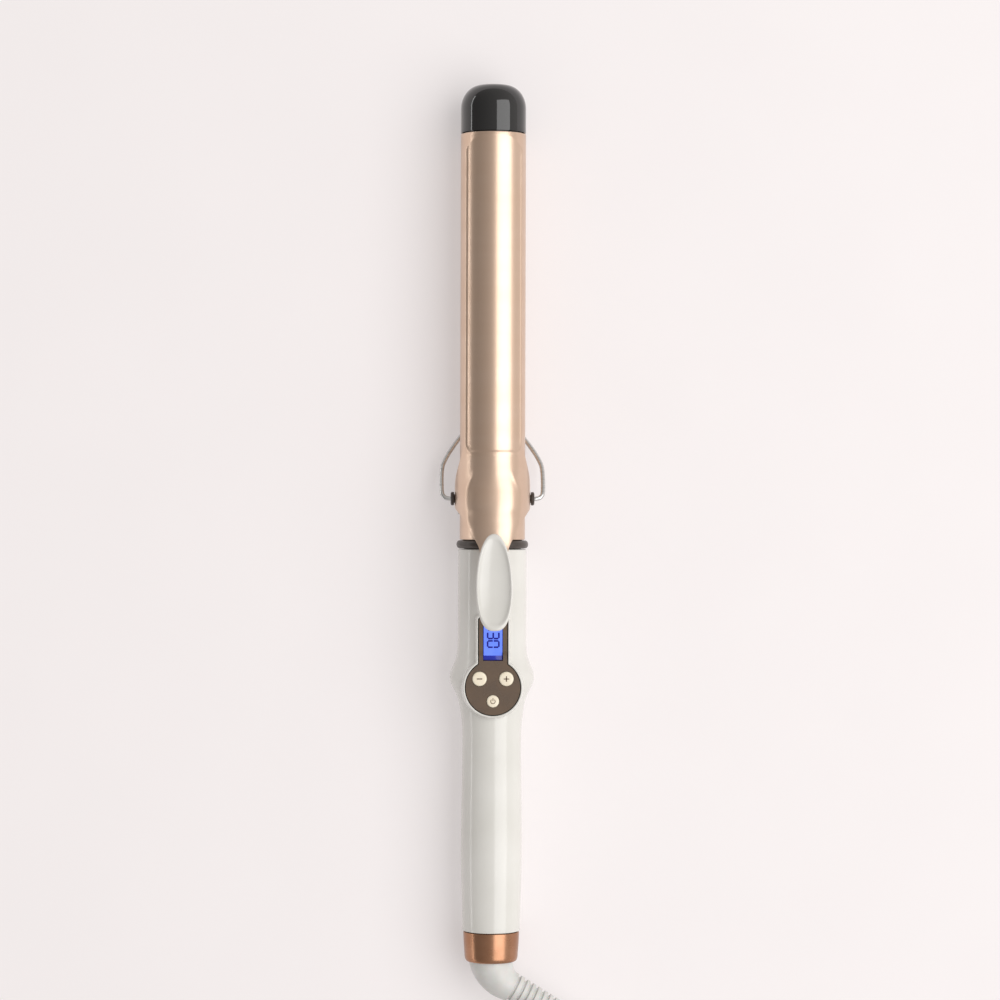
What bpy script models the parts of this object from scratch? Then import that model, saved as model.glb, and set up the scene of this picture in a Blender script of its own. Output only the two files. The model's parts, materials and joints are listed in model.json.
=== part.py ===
"""Curling wand with a digital handle, lying on a table with its clip upward.

+X is right, +Y points to the wand's tip and +Z is up. The origin is on the table,
under the middle of the wand. Sizes are in millimetres and become metres in P().
Stations along the wand, called u, are counted from the tip towards the cord.
"""
import math

import bpy
import bmesh
from mathutils import Matrix, Vector

MM = 0.001
GAP = 0.3                 # left between pieces that touch or rest on each other
SIDES = 32                # around the large turned pieces
SMALL_SIDES = 16
TWIST = 0.07              # turns the facets of round pieces off the planes that cut them

# Barrel
BARREL_R = 12.5
BARREL_WALL = 0.8
BARREL_LENGTH = 155.9
CAP_LENGTH = 18.5
CAP_FLAT_R = 5.0
CAP_ROUNDING = 9.0
SPIGOT_LENGTH = 9.0
COLLAR_LENGTH = 3.3
COLLAR_LIP = 1.25         # how far the collar stands out of the barrel

# Handle, whose stations are counted from its front end
HANDLE_LENGTH = 146.4
HANDLE_WALL = 2.0
NECK_LIP = 0.67           # handle neck over barrel
BULGE_OUT = 3.03          # handle bulge over neck
BULGE_AT = 49.0
BULGE_SPREAD = 6.0
WAIST_IN = 1.2            # waist under barrel, in radius, and so on down to the cord
WAIST_AT = 72.0
GRIP_IN = 0.75
GRIP_AT = 115.0
TAIL_IN = 1.4
REST_FLAT_WIDTH = 12.0
SCREW_TO_CAP = 24.1
BOSS_R = 3.0

# End cap and swivel
END_CAP_LENGTH = 11.4
END_CAP_IN = 1.8          # end cap under barrel, in radius
END_CAP_TAPER = 0.5
BOOT_IN = 3.7             # boot's root under barrel, in radius
HOLDER_TO_CAP = 15.1
HOLDER_THICKNESS = 3.0
BOOT_TURN = math.radians(62)
BOOT_BEND = 13.2
BOOT_BEND_BEFORE_END = 1.9
BOOT_STRAIGHT = 25.0
BOOT_RIB_R = 5.85

# Clip
SHEET = 0.8
CLIP_START = 20.2         # station of the clip's free end
CLIP_HALF_ANGLE = 54.0
CLIP_CORNER = 7.8
PIVOT_TO_COLLAR = 16.0
BAND_HALF = 6.0
BAND_WALL = 0.5
BUSH_R = 1.65
BUSH_FLANGE_R = 2.6
EAR_HOLE_CLEAR = 0.35
EAR_CLEAR = 0.35          # between the band and the clip's ears
LEVER_SLOPE = math.radians(16.2)
LEVER_FROM_PIVOT = 13.7
LEVER_LIFT = 8.5          # underside of the lever's apex over the barrel
LEVER_LENGTH = 37.6
LEVER_HALF_WIDTH = 6.9
LEVER_THICKNESS = 2.6
LEVER_RIM = 1.2
LEVER_WIDEST = 0.58
LEVER_SCREW_AT = 12.0     # along the lever from its apex
NECK_HALF_WIDTH = 5.4
NECK_UNDER_LEVER = 18.5

# Stand
WIRE_R = 0.9
WIRE_RUNNING = 0.15       # radial clearance of the wire's ends in the bushes
STAND_REACH = 30.4
STAND_CLEAR = 6.9         # the stand's sides outside the barrel
STAND_BASE_HALF = 6.5

# Control panel, its levels measured from the neck's surface
STRIP_HALF = 5.55
STRIP_BELOW_NECK = 0.42
STRIP_TO_DISC = 26.7
DISC_R = 10.5
DISC_AFTER_BULGE = 3.4
DISC_STEP = 1.15          # disc's face over the strip's
PANEL_THICKNESS = 0.8
PANEL_RIM = 0.9
RIM_PROUD = 0.35
WINDOW_HALF = 3.65
WINDOW_INSET = 1.6
WINDOW_LENGTH = 14.7
PAIR_X = 5.1              # the two upper buttons
PAIR_BEFORE_DISC = 3.4
PAIR_R = 2.75
POWER_AFTER_DISC = 5.1
POWER_R = 2.35
BUTTON_PROUD = 0.6
BUTTON_TRAVEL = 0.6
FLANGE = 0.8              # around the foot of each button
FLANGE_DEPTH = 3.8        # its top under the disc's face

# Circuit board
BOARD_DEPTH = 10.5        # underside of the board under the disc's face
BOARD_THICKNESS = 1.6
BOARD_BEFORE_STRIP = 11.4
BOARD_AFTER_DISC = 12.0   # where the board narrows
BOARD_WIDE = 7.7
BOARD_NARROW = 5.6
BOARD_TO_SCREW = 8.0

# Cord
CORD_D = 5.6
HANK_RUN = 100.0
HANK_TRACKS = 3
HANK_INNER_R = 17.5
HANK_X = 22.9
HANK_AFTER_END = 56.5
TIE_AT = 82.0             # along the hank's runs, past the plug
TIE_WIDTH = 10.0
TIE_THICKNESS = 0.8
PLUG_RELIEF = 12.0
PLUG_LENGTH = 19.0
PLUG_HALF_WIDTH = 8.5
PLUG_THICKNESS = 9.0
BLADE_LENGTH = 16.0
BLADE_X = 6.35

# Worked out from the sizes above
SHEET_R = BARREL_R + GAP + SHEET / 2                 # middle of the clip's sheet over the barrel
BAND_R = BARREL_R + GAP + BAND_WALL
EAR_X = BAND_R + EAR_CLEAR + SHEET / 2                    # middle of the clip's ears
BUSH_FACE = EAR_X + SHEET / 2 + GAP
EAR_HOLE_R = BUSH_R + EAR_HOLE_CLEAR
COLLAR_AT = CAP_LENGTH + BARREL_LENGTH
PIVOT_AT = COLLAR_AT - PIVOT_TO_COLLAR
HANDLE_AT = COLLAR_AT + COLLAR_LENGTH
END_CAP_AT = HANDLE_AT + HANDLE_LENGTH
TOTAL = END_CAP_AT + END_CAP_LENGTH
TIP_Y = TOTAL / 2
NECK_R = BARREL_R + NECK_LIP
NECK_BORE = NECK_R - HANDLE_WALL
WAIST_R = BARREL_R - WAIST_IN
GRIP_R = BARREL_R - GRIP_IN
TAIL_R = BARREL_R - TAIL_IN
BULGE_R = NECK_R + BULGE_OUT
AXIS_Z = math.sqrt(BULGE_R ** 2 - (REST_FLAT_WIDTH / 2) ** 2)
LEVER_UNDERSIDE = BARREL_R + LEVER_LIFT              # at the lever's apex
SCREW_AT = END_CAP_AT - SCREW_TO_CAP
HOLDER_AT = END_CAP_AT - HOLDER_TO_CAP
END_CAP_R = BARREL_R - END_CAP_IN
END_CAP_TIP_R = END_CAP_R - END_CAP_TAPER
BOOT_R = BARREL_R - BOOT_IN
BOOT_TIP_R = CORD_D / 2 + 1.2
HUB_FLANGE_R = TAIL_R - HANDLE_WALL - 2.1
HUB_NECK_R = HUB_FLANGE_R - 2.4
STRIP_LEVEL = NECK_R - STRIP_BELOW_NECK              # heights over the wand's axis
DISC_LEVEL = STRIP_LEVEL + DISC_STEP
FLANGE_TOP = DISC_LEVEL - FLANGE_DEPTH
BOARD_FLOOR = DISC_LEVEL - BOARD_DEPTH
DISC_AT = HANDLE_AT + BULGE_AT + DISC_AFTER_BULGE
STRIP_START = DISC_AT - STRIP_TO_DISC
WINDOW_START = STRIP_START + WINDOW_INSET
WINDOW_END = WINDOW_START + WINDOW_LENGTH
BUTTONS = {
    "minus": (-PAIR_X, DISC_AT - PAIR_BEFORE_DISC, PAIR_R),
    "plus": (PAIR_X, DISC_AT - PAIR_BEFORE_DISC, PAIR_R),
    "power": (0.0, DISC_AT + POWER_AFTER_DISC, POWER_R),
}
BOARD_START = STRIP_START - BOARD_BEFORE_STRIP
BOARD_STEP = DISC_AT + BOARD_AFTER_DISC
BOARD_END = SCREW_AT - BOARD_TO_SCREW
TRACK = CORD_D + 0.4                                 # sideways pitch of the turns in the hank
LAYER = CORD_D + 0.2                                 # height of one layer of turns
HANK_START = TOTAL + HANK_AFTER_END

COLORS = {
    "black gloss": ((0.012, 0.012, 0.013), 0.12, 0.0),
    "champagne metal": ((0.72, 0.56, 0.42), 0.25, 1.0),
    "copper metal": ((0.66, 0.42, 0.31), 0.25, 1.0),
    "steel": ((0.72, 0.72, 0.70), 0.2, 1.0),
    "spring steel": ((0.45, 0.45, 0.44), 0.35, 1.0),
    "aluminium": ((0.75, 0.75, 0.76), 0.4, 1.0),
    "brass": ((0.75, 0.58, 0.28), 0.3, 1.0),
    "brown plastic": ((0.045, 0.034, 0.028), 0.35, 0.0),
    "white plastic": ((0.80, 0.79, 0.76), 0.3, 0.0),
    "taupe plastic": ((0.14, 0.105, 0.08), 0.35, 0.0),
    "ivory plastic": ((0.91, 0.85, 0.70), 0.35, 0.0),
    "blue display": ((0.16, 0.25, 0.80), 0.1, 0.0),
    "circuit green": ((0.02, 0.16, 0.07), 0.45, 0.0),
    "dark plastic": ((0.02, 0.02, 0.022), 0.5, 0.0),
    "ceramic": ((0.85, 0.82, 0.76), 0.6, 0.0),
    "grey plastic": ((0.58, 0.58, 0.56), 0.45, 0.0),
    "red wire": ((0.45, 0.03, 0.02), 0.5, 0.0),
    "blue wire": ((0.03, 0.10, 0.40), 0.5, 0.0),
}


def clear_scene():
    for obj in list(bpy.data.objects):
        bpy.data.objects.remove(obj, do_unlink=True)


def new_collection(name):
    collection = bpy.data.collections.new(name)
    bpy.context.scene.collection.children.link(collection)
    return collection


clear_scene()
PARTS = new_collection("curling_wand")
CUTTERS = new_collection("cutters")


def material(finish):
    found = bpy.data.materials.get(finish)
    if found:
        return found
    color, roughness, metallic = COLORS[finish]
    made = bpy.data.materials.new(finish)
    made.use_nodes = True
    shader = made.node_tree.nodes["Principled BSDF"]
    shader.inputs["Base Color"].default_value = (*color, 1.0)
    shader.inputs["Roughness"].default_value = roughness
    shader.inputs["Metallic"].default_value = metallic
    return made


def P(x, u, z):
    """The point x to the right of the wand's axis, at station u, z over the axis."""
    return Vector((x, TIP_Y - u, AXIS_Z + z)) * MM


def place(name, mesh, finish):
    """A part with that finish, or a cutter if finish is None."""
    obj = bpy.data.objects.new(name, mesh)
    if finish is None:
        obj.hide_render = True
        obj.display_type = "WIRE"
        CUTTERS.objects.link(obj)
    else:
        mesh.materials.append(material(finish))
        PARTS.objects.link(obj)
    return obj


def set_origin(obj, point):
    obj.data.transform(Matrix.Translation(-point))
    obj.location = obj.location + point


def turned(name, profile, finish, start=None, axis=(0, 1, 0), sides=SIDES, ring=False):
    """Profile of (distance, radius) from start against axis: down the outside, then up any bore."""
    points = [Vector((r * math.cos(TWIST), r * math.sin(TWIST), -d)) * MM for d, r in profile]
    edges = [(i, i + 1) for i in range(len(points) - 1)]
    if ring:
        edges.append((len(points) - 1, 0))
    mesh = bpy.data.meshes.new(name)
    mesh.from_pydata(points, edges, [])
    obj = place(name, mesh, finish)
    obj.rotation_euler = Vector(axis).to_track_quat("Z", "Y").to_euler()
    obj.location = P(0, 0, 0) if start is None else start
    screw = obj.modifiers.new("turn", "SCREW")
    screw.steps = screw.render_steps = sides
    screw.use_merge_vertices = True
    screw.merge_threshold = 0.000001
    return obj


def box(name, low, high, finish):
    """Box between two corners given as (x, u, z)."""
    a, b = P(*low), P(*high)
    size, centre = [abs(v) for v in (b - a)], (a + b) / 2
    mesh = bpy.data.meshes.new(name)
    bm = bmesh.new()
    bmesh.ops.create_cube(bm, size=1, matrix=Matrix.Translation(centre) @ Matrix.Diagonal((*size, 1)))
    bm.to_mesh(mesh)
    bm.free()
    return place(name, mesh, finish)


def curve_to_mesh(curve, name, finish, matrix=None):
    """Object with the curve's evaluated mesh, its caps welded."""
    source = bpy.data.objects.new(name + "_curve", curve)
    bpy.context.scene.collection.objects.link(source)
    graph = bpy.context.evaluated_depsgraph_get()
    mesh = bpy.data.meshes.new_from_object(source.evaluated_get(graph))
    bpy.data.objects.remove(source, do_unlink=True)
    bm = bmesh.new()
    bm.from_mesh(mesh)
    bmesh.ops.remove_doubles(bm, verts=bm.verts, dist=0.000002)
    bm.to_mesh(mesh)
    bm.free()
    mesh.materials.clear()
    if matrix:
        mesh.transform(matrix)
        if matrix.determinant() < 0:
            mesh.flip_normals()
    return place(name, mesh, finish)


def plate(name, outline, low, high, matrix, finish):
    """Flat outline, in millimetres in the matrix's XY plane, from low to high along its Z."""
    curve = bpy.data.curves.new(name, "CURVE")
    curve.dimensions = "2D"
    curve.fill_mode = "BOTH"
    curve.extrude = (high - low) / 2 * MM
    spline = curve.splines.new("POLY")
    spline.points.add(len(outline) - 1)
    for point, (x, y) in zip(spline.points, outline):
        point.co = (x * MM, y * MM, 0, 1)
    spline.use_cyclic_u = True
    lift = Matrix.Translation((0, 0, (high + low) / 2 * MM))
    return curve_to_mesh(curve, name, finish, matrix @ lift)


def wire(name, points, radius, finish, factors=None, resolution=2):
    """Round wire through points; factors scale its radius at each point."""
    curve = bpy.data.curves.new(name, "CURVE")
    curve.dimensions = "3D"
    curve.bevel_depth = radius * MM
    curve.bevel_resolution = resolution
    curve.use_fill_caps = True
    spline = curve.splines.new("POLY")
    spline.points.add(len(points) - 1)
    for i, point in enumerate(points):
        spline.points[i].co = (*point, 1)
        spline.points[i].radius = factors[i] if factors else 1.0
    return curve_to_mesh(curve, name, finish)


def smooth(points, steps):
    """Catmull-Rom curve through the points."""
    ends = [2 * points[0] - points[1], *points, 2 * points[-1] - points[-2]]
    made = []
    for a, b, c, d in zip(ends, ends[1:], ends[2:], ends[3:]):
        for k in range(steps):
            t = k / steps
            made.append(0.5 * (2 * b + (c - a) * t + (2 * a - 5 * b + 4 * c - d) * t ** 2
                               + (3 * b - a - 3 * c + d) * t ** 3))
    return [*made, points[-1]]


def combine(obj, other, operation):
    modifier = obj.modifiers.new(operation.lower(), "BOOLEAN")
    modifier.operation = operation
    modifier.object = other
    return obj


def cut(obj, *cutters):
    for cutter in cutters:
        combine(obj, cutter, "DIFFERENCE")
    return obj


def use_manifold_cuts(obj):
    """The shells have many cuts that meet, which the exact solver leaves open."""
    for modifier in obj.modifiers:
        if modifier.type == "BOOLEAN":
            modifier.solver = "MANIFOLD"


def flat_at(height=0.0):
    """Looking down: outline x is X and outline y is the station, at a height over the axis."""
    return Matrix.Translation(P(0, 0, height)) @ Matrix.Diagonal((1, -1, 1, 1))


def side_view(x=0.0):
    """Looking along X: outline x is the station and outline y is the height over the axis."""
    turn = Matrix(((0, 0, 1, 0), (-1, 0, 0, 0), (0, 1, 0, 0), (0, 0, 0, 1)))
    return Matrix.Translation(P(x, 0, 0)) @ turn


def arc(x, y, radius, start, end, steps):
    """Points on an arc, its angles in degrees."""
    angles = [math.radians(start + (end - start) * k / steps) for k in range(steps + 1)]
    return [(x + radius * math.cos(a), y + radius * math.sin(a)) for a in angles]


def mix(a, b, t):
    return a + (b - a) * t


def eased(rows, at):
    """Value at a station, eased between rows of (station, value, ...)."""
    for low, high in zip(rows, rows[1:]):
        if at <= high[0]:
            t = max(0.0, (at - low[0]) / (high[0] - low[0]))
            t = t * t * (3 - 2 * t)
            return [mix(p, q, t) for p, q in zip(low[1:], high[1:])]
    return list(rows[-1][1:])


# ---------------------------------------------------------------- barrel

def make_barrel():
    spigot_r = BARREL_R - BARREL_WALL - GAP
    corner = arc(0, 0, 1.0, 0, 90, 6)
    dome = [(CAP_ROUNDING * (1 - s), CAP_FLAT_R + (BARREL_R - CAP_FLAT_R) * c) for c, s in reversed(corner)]
    cap = [(0, 0), *dome, (CAP_LENGTH, BARREL_R), (CAP_LENGTH, spigot_r),
           (CAP_LENGTH + SPIGOT_LENGTH, spigot_r), (CAP_LENGTH + SPIGOT_LENGTH, spigot_r - 2),
           (CAP_LENGTH, spigot_r - 2), (CAP_LENGTH, 0)]
    turned("barrel_tip_cap", cap, "black gloss")
    start, end = CAP_LENGTH + GAP, COLLAR_AT - GAP
    inner = BARREL_R - BARREL_WALL
    tube = [(start, BARREL_R), (end, BARREL_R), (end, inner), (start, inner)]
    turned("barrel_tube", tube, "champagne metal", ring=True)
    make_heater(spigot_r)
    make_collar(spigot_r)


def make_heater(core_r):
    element_half, element_thickness = core_r - 4.4, 2.4
    start, end = CAP_LENGTH + SPIGOT_LENGTH + 5, PIVOT_AT - 12
    slot = element_thickness / 2 + GAP
    for name, side in (("heater_block_upper", 1), ("heater_block_lower", -1)):
        block = turned(name, [(start, 0), (start, core_r), (end, core_r), (end, 0)], "aluminium")
        reach = core_r + 1
        low, high = sorted((side * slot, -side * reach))
        cut(block, box(name + "_cut", (-reach, start - 1, low), (reach, end + 1, high), None))
    thickness = element_thickness / 2
    box("heating_element", (-element_half, start + 4, -thickness), (element_half, end - 2, thickness), "ceramic")
    sensor = [(0, 0), (0, 1.0), (9, 1.0), (9, 0)]
    turned("temperature_sensor", sensor, "black gloss", P(element_half + 2.2, end - 22, 0), sides=SMALL_SIDES)


def make_collar(spigot_r):
    lip = BARREL_R + COLLAR_LIP
    length = COLLAR_LENGTH - GAP
    ring = [(COLLAR_AT + length / 2 * (1 - s), lip - 0.9 * (1 - c)) for c, s in reversed(arc(0, 0, 1, -90, 90, 6))]
    bore = 6.0
    rear = NECK_BORE - GAP
    front_end, rear_end = COLLAR_AT - SPIGOT_LENGTH, HANDLE_AT + SPIGOT_LENGTH
    profile = [(front_end, bore), (front_end, spigot_r), (COLLAR_AT, spigot_r), *ring,
               (COLLAR_AT + length, rear), (rear_end, rear), (rear_end, bore)]
    turned("barrel_collar", profile, "brown plastic", ring=True)


# ---------------------------------------------------------------- clip, lever and pivot

def clip_rows():
    """Rows of (distance from pivot, top, half width radius, rise radius, half angle, squareness)."""
    tip = CLIP_START - PIVOT_AT
    straight = math.radians(CLIP_HALF_ANGLE)
    rows = []
    for s, c in arc(0, 0, 1, 0, 90, 5):
        along = tip + CLIP_CORNER * (1 - s)
        half = SHEET_R * math.sin(straight) - CLIP_CORNER * (1 - c)
        rows.append((along, SHEET_R, SHEET_R, SHEET_R, math.degrees(math.asin(half / SHEET_R)), 2.0))
    lift = LEVER_UNDERSIDE - GAP - SHEET / 2
    rise = math.tan(LEVER_SLOPE)
    angle = CLIP_HALF_ANGLE
    rows += [
        (-60.0, SHEET_R, SHEET_R, SHEET_R, angle, 2.0),
        (-18.4, SHEET_R, SHEET_R, SHEET_R, angle, 2.0),
        (-17.2, SHEET_R + 0.35, SHEET_R + 0.1, SHEET_R + 0.35, angle + 2, 2.0),
        (-13.0, SHEET_R + 1.0, SHEET_R + 0.5, SHEET_R + 1.0, angle + 8, 2.05),
        (-9.0, SHEET_R + 1.75, EAR_X - 0.1, SHEET_R + 1.75, 72.0, 2.15),
        (-6.5, SHEET_R + 2.25, EAR_X, SHEET_R + 2.25, 84.0, 2.25),
        (-4.2, SHEET_R + 2.75, EAR_X, SHEET_R + 2.75, 98.0, 2.35),
        (-2.0, SHEET_R + 3.25, EAR_X, SHEET_R + 3.25, 105.0, 2.4),
        (0.0, SHEET_R + 3.7, EAR_X, SHEET_R + 3.7, 107.0, 2.4),
        (2.0, SHEET_R + 4.15, EAR_X, SHEET_R + 4.15, 102.0, 2.4),
        (3.4, SHEET_R + 4.5, EAR_X, SHEET_R + 4.5, 86.0, 2.35),
        (4.8, SHEET_R + 4.85, EAR_X - 0.1, SHEET_R + 4.85, 70.0, 2.3),
        (7.0, SHEET_R + 5.4, EAR_X - 0.9, SHEET_R + 1.3, 61.0, 2.25),
        (9.8, SHEET_R + 6.05, EAR_X - 2.2, SHEET_R - 2.7, 56.0, 2.2),
        (LEVER_FROM_PIVOT, lift, EAR_X - 4.6, 6.0, 55.0, 2.1),
        (18.5, lift + 4.8 * rise, NECK_HALF_WIDTH + 1.4, 2.2, 55.0, 2.0),
    ]
    for t in (0.3, 0.65, 1.0):
        along = mix(18.5, LEVER_FROM_PIVOT + NECK_UNDER_LEVER, t)
        top = lift + (along - LEVER_FROM_PIVOT) * rise
        rows.append((along, top, mix(NECK_HALF_WIDTH, 4.0, t) / math.sin(math.radians(40)), 0.2, 40.0, 2.0))
    return rows


def power(value, exponent):
    return math.copysign(abs(value) ** exponent, value)


def clip_point(row, t):
    """Point of the sheet's middle at t, from -1 at the left edge to 1 at the right."""
    along, top, rx, rz, half_angle, square = row
    a = math.radians(half_angle) * t
    x = rx * power(math.sin(a), 2 / square)
    z = top - rz * (1 - power(math.cos(a), 2 / square))
    return P(x, PIVOT_AT + along, z)


def make_clip():
    rows, columns = clip_rows(), 16
    mesh = bpy.data.meshes.new("clip_plate")
    bm = bmesh.new()
    grid = [[bm.verts.new(clip_point(row, 2 * k / columns - 1)) for k in range(columns + 1)] for row in rows]
    for low, high in zip(grid, grid[1:]):
        for k in range(columns):
            bm.faces.new((low[k], high[k], high[k + 1], low[k + 1]))
    bm.to_mesh(mesh)
    bm.free()
    mesh.shade_smooth()
    clip = place("clip_plate", mesh, "champagne metal")
    set_origin(clip, P(0, PIVOT_AT, 0))
    solid = clip.modifiers.new("sheet", "SOLIDIFY")
    solid.thickness = SHEET * MM
    solid.offset = 0
    solid.use_even_offset = True
    ear_holes = [(-20, 0), (-20, EAR_HOLE_R), (20, EAR_HOLE_R), (20, 0)]
    cut(clip, turned("ear_holes", ear_holes, None, P(0, PIVOT_AT, 0), (1, 0, 0), SMALL_SIDES))
    screw_hole = [(-4, 0), (-4, 1.5), (4, 1.5), (4, 0)]
    cut(clip, turned("lever_screw_hole", screw_hole, None, lever_frame() @ (Vector((0, LEVER_SCREW_AT, 0)) * MM),
                     lever_normal(), SMALL_SIDES))
    return clip


def lever_normal():
    return (0, math.sin(LEVER_SLOPE), math.cos(LEVER_SLOPE))


def lever_frame():
    """Frame at the lever's apex underside: Y runs down the lever, Z is out of its dish."""
    along = Vector((0, -math.cos(LEVER_SLOPE), math.sin(LEVER_SLOPE)))
    out = Vector(lever_normal())
    across = along.cross(out)
    frame = Matrix((across, along, out)).transposed().to_4x4()
    return Matrix.Translation(P(0, PIVOT_AT + LEVER_FROM_PIVOT, LEVER_UNDERSIDE)) @ frame


def egg(half_width, start, end, steps=12):
    """Egg outline, its pointed end at start, widest at LEVER_WIDEST of its length."""
    wide = mix(start, end, LEVER_WIDEST)
    right = [(half_width * math.sin(math.pi / 2 * k / steps) ** 0.8, mix(start, wide, k / steps))
             for k in range(steps)]
    right += [(half_width * math.cos(math.pi / 2 * k / steps), mix(wide, end, math.sin(math.pi / 2 * k / steps)))
              for k in range(steps + 1)]
    return right[:-1] + [right[-1]] + [(-x, y) for x, y in reversed(right[1:-1])]


def make_lever():
    frame = lever_frame()
    outline = egg(LEVER_HALF_WIDTH, 0, LEVER_LENGTH)
    lever = plate("thumb_lever", outline, 0, LEVER_THICKNESS, frame, "white plastic")
    dish = egg(LEVER_HALF_WIDTH - LEVER_RIM, 2.2 * LEVER_RIM, LEVER_LENGTH - LEVER_RIM)
    cut(lever, plate("lever_dish", dish, LEVER_THICKNESS - 0.9, LEVER_THICKNESS + 1, frame, None))
    at = frame @ (Vector((0, LEVER_SCREW_AT, 0)) * MM)
    hole = [(-1.4, 0), (-1.4, 1.25), (2, 1.25), (2, 0)]
    cut(lever, turned("lever_screw_seat", hole, None, at, lever_normal(), SMALL_SIDES))
    depth = SHEET + 2 * GAP
    screw = [(-1.1, 0), (-1.1, 0.95), (depth, 0.95), (depth, 2.0), (depth + 0.6, 1.6), (depth + 0.6, 0)]
    turned("lever_screw", screw, "steel", at, lever_normal(), SMALL_SIDES)
    pivot = P(0, PIVOT_AT, 0)
    set_origin(lever, pivot)


def make_pivot():
    low, high = PIVOT_AT - BAND_HALF, PIVOT_AT + BAND_HALF
    inner = BARREL_R + GAP
    band = turned("pivot_band", [(low, BAND_R), (high, BAND_R), (high, inner), (low, inner)], "steel", ring=True)
    bores = [(-20, 0), (-20, BUSH_R + GAP), (20, BUSH_R + GAP), (20, 0)]
    cut(band, turned("band_bores", bores, None, P(0, PIVOT_AT, 0), (1, 0, 0), SMALL_SIDES))
    rivet_bore = [(0, 0), (0, 1.2), (6, 1.2), (6, 0)]
    cut(band, turned("band_rivet_bore", rivet_bore, None, P(0, PIVOT_AT, BAND_R + 1.5), (0, 0, 1), SMALL_SIDES))
    flange = 1.3
    outer = BUSH_FACE + flange
    length = outer - (BARREL_R + GAP + 0.05)
    bore_r, bore_depth = WIRE_R + WIRE_RUNNING, length - 0.8
    profile = [(bore_depth, 0), (bore_depth, bore_r), (0, bore_r), (0, BUSH_FLANGE_R - 0.3), (0.3, BUSH_FLANGE_R),
               (flange, BUSH_FLANGE_R), (flange, BUSH_R), (length, BUSH_R), (length, 0)]
    for name, side in (("pivot_bush_left", -1), ("pivot_bush_right", 1)):
        turned(name, profile, "brown plastic", P(side * outer, PIVOT_AT, 0), (side, 0, 0), 24)
    make_spring(BAND_R + GAP)
    return outer - bore_depth + GAP


def make_spring(seat):
    thickness, half_width = 0.4, 2.2
    tip = LEVER_FROM_PIVOT + 0.5
    under = LEVER_UNDERSIDE - GAP - SHEET - 1.5 * GAP - thickness
    rise = [Vector((3.5, seat)), Vector((8, mix(seat, under, 0.36))), Vector((tip, under))]
    line = [Vector((-4.5, seat)), *smooth(rise, 4)]
    outline = [(PIVOT_AT + p.x, p.y) for p in line]
    outline += [(PIVOT_AT + p.x, p.y + thickness) for p in reversed(line)]
    spring = plate("clip_spring", outline, -half_width, half_width, side_view(), "spring steel")
    hole = [(-2, 0), (-2, 1.2), (3, 1.2), (3, 0)]
    cut(spring, turned("spring_hole", hole, None, P(0, PIVOT_AT, seat), (0, 0, 1), SMALL_SIDES))
    head = seat + thickness + GAP
    rivet = [(0, 0), (0, 1.5), (0.4, 1.9), (0.6, 0.9), (head + 0.6 - BARREL_R - GAP, 0.9),
             (head + 0.6 - BARREL_R - GAP, 0)]
    turned("spring_rivet", rivet, "steel", P(0, PIVOT_AT, head + 0.6), (0, 0, 1), SMALL_SIDES)


def make_stand(end_x):
    fall = math.asin((AXIS_Z - WIRE_R) / STAND_REACH)
    side = BARREL_R + STAND_CLEAR
    half = [(end_x, 0), (end_x + 2.4, 0), (side - 0.9, 0.8), (side, 3.4), (side - 0.1, 12.4), (side - 1.4, 17.0),
            (side - 4.4, 22.5), (side - 7.4, 27.0), (STAND_BASE_HALF + 3.4, STAND_REACH - 0.7),
            (STAND_BASE_HALF, STAND_REACH), (0, STAND_REACH)]
    route = [Vector((x, q)) for x, q in half] + [Vector((-x, q)) for x, q in reversed(half[:-1])]
    points = []
    for p in smooth(route, 3):
        q = min(p.y, STAND_REACH)
        points.append(P(p.x, PIVOT_AT - q * math.cos(fall), -q * math.sin(fall)))
    stand = wire("stand_wire", points, WIRE_R, "steel")
    set_origin(stand, P(0, PIVOT_AT, 0))


# ---------------------------------------------------------------- handle

def handle_r(at):
    """Outer radius at a station along the handle: its slow taper with the bulge on it."""
    rows = [(0.0, NECK_R), (BULGE_AT, NECK_R), (WAIST_AT, WAIST_R), (GRIP_AT, GRIP_R), (HANDLE_LENGTH, TAIL_R)]
    bulge = BULGE_OUT * math.exp(-((at - BULGE_AT) / BULGE_SPREAD) ** 2)
    return eased(rows, at)[0] + bulge


def bore_r(at):
    return min(handle_r(at) - HANDLE_WALL, NECK_BORE)


def handle_stations():
    neck = [0.6, (BULGE_AT - 2.4 * BULGE_SPREAD) / 2]
    bulge = [BULGE_AT + 0.4 * BULGE_SPREAD * k for k in range(-6, 7)]
    grip = [mix(bulge[-1], HANDLE_LENGTH - GAP, k / 8) for k in range(1, 9)]
    return neck + bulge + grip


def keyhole(margin):
    """Control panel outline seen from above: a strip that runs into a disc."""
    half, radius, top = STRIP_HALF + margin, DISC_R + margin, STRIP_START - margin
    joint = math.degrees(math.asin(half / radius))
    corner = 1.2
    outline = arc(half - corner, top + corner, corner, -90, 0, 3)
    outline += arc(0, DISC_AT, radius, -90 + joint, 270 - joint, 30)
    outline += arc(-half + corner, top + corner, corner, 180, 270, 3)
    return outline


def panel_side(bottom, rise):
    """Side outline of the panel's faces: the strip's level, a ramp, then the disc's level."""
    ramp, start, end = DISC_AT - DISC_R - 1.0, STRIP_START - 4, DISC_AT + DISC_R + 4
    return [(start, bottom), (start, STRIP_LEVEL + rise), (ramp - 3, STRIP_LEVEL + rise), (ramp, DISC_LEVEL + rise),
            (end, DISC_LEVEL + rise), (end, bottom)]


def panel_block(name, margin, bottom, rise, finish=None):
    """Keyhole block whose top follows the panel's levels."""
    block = plate(name, keyhole(margin), bottom, 30, flat_at(), finish)
    side = plate(name + "_side", panel_side(bottom - 1, rise), -30, 30, side_view(), None)
    return combine(block, side, "INTERSECT")


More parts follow.
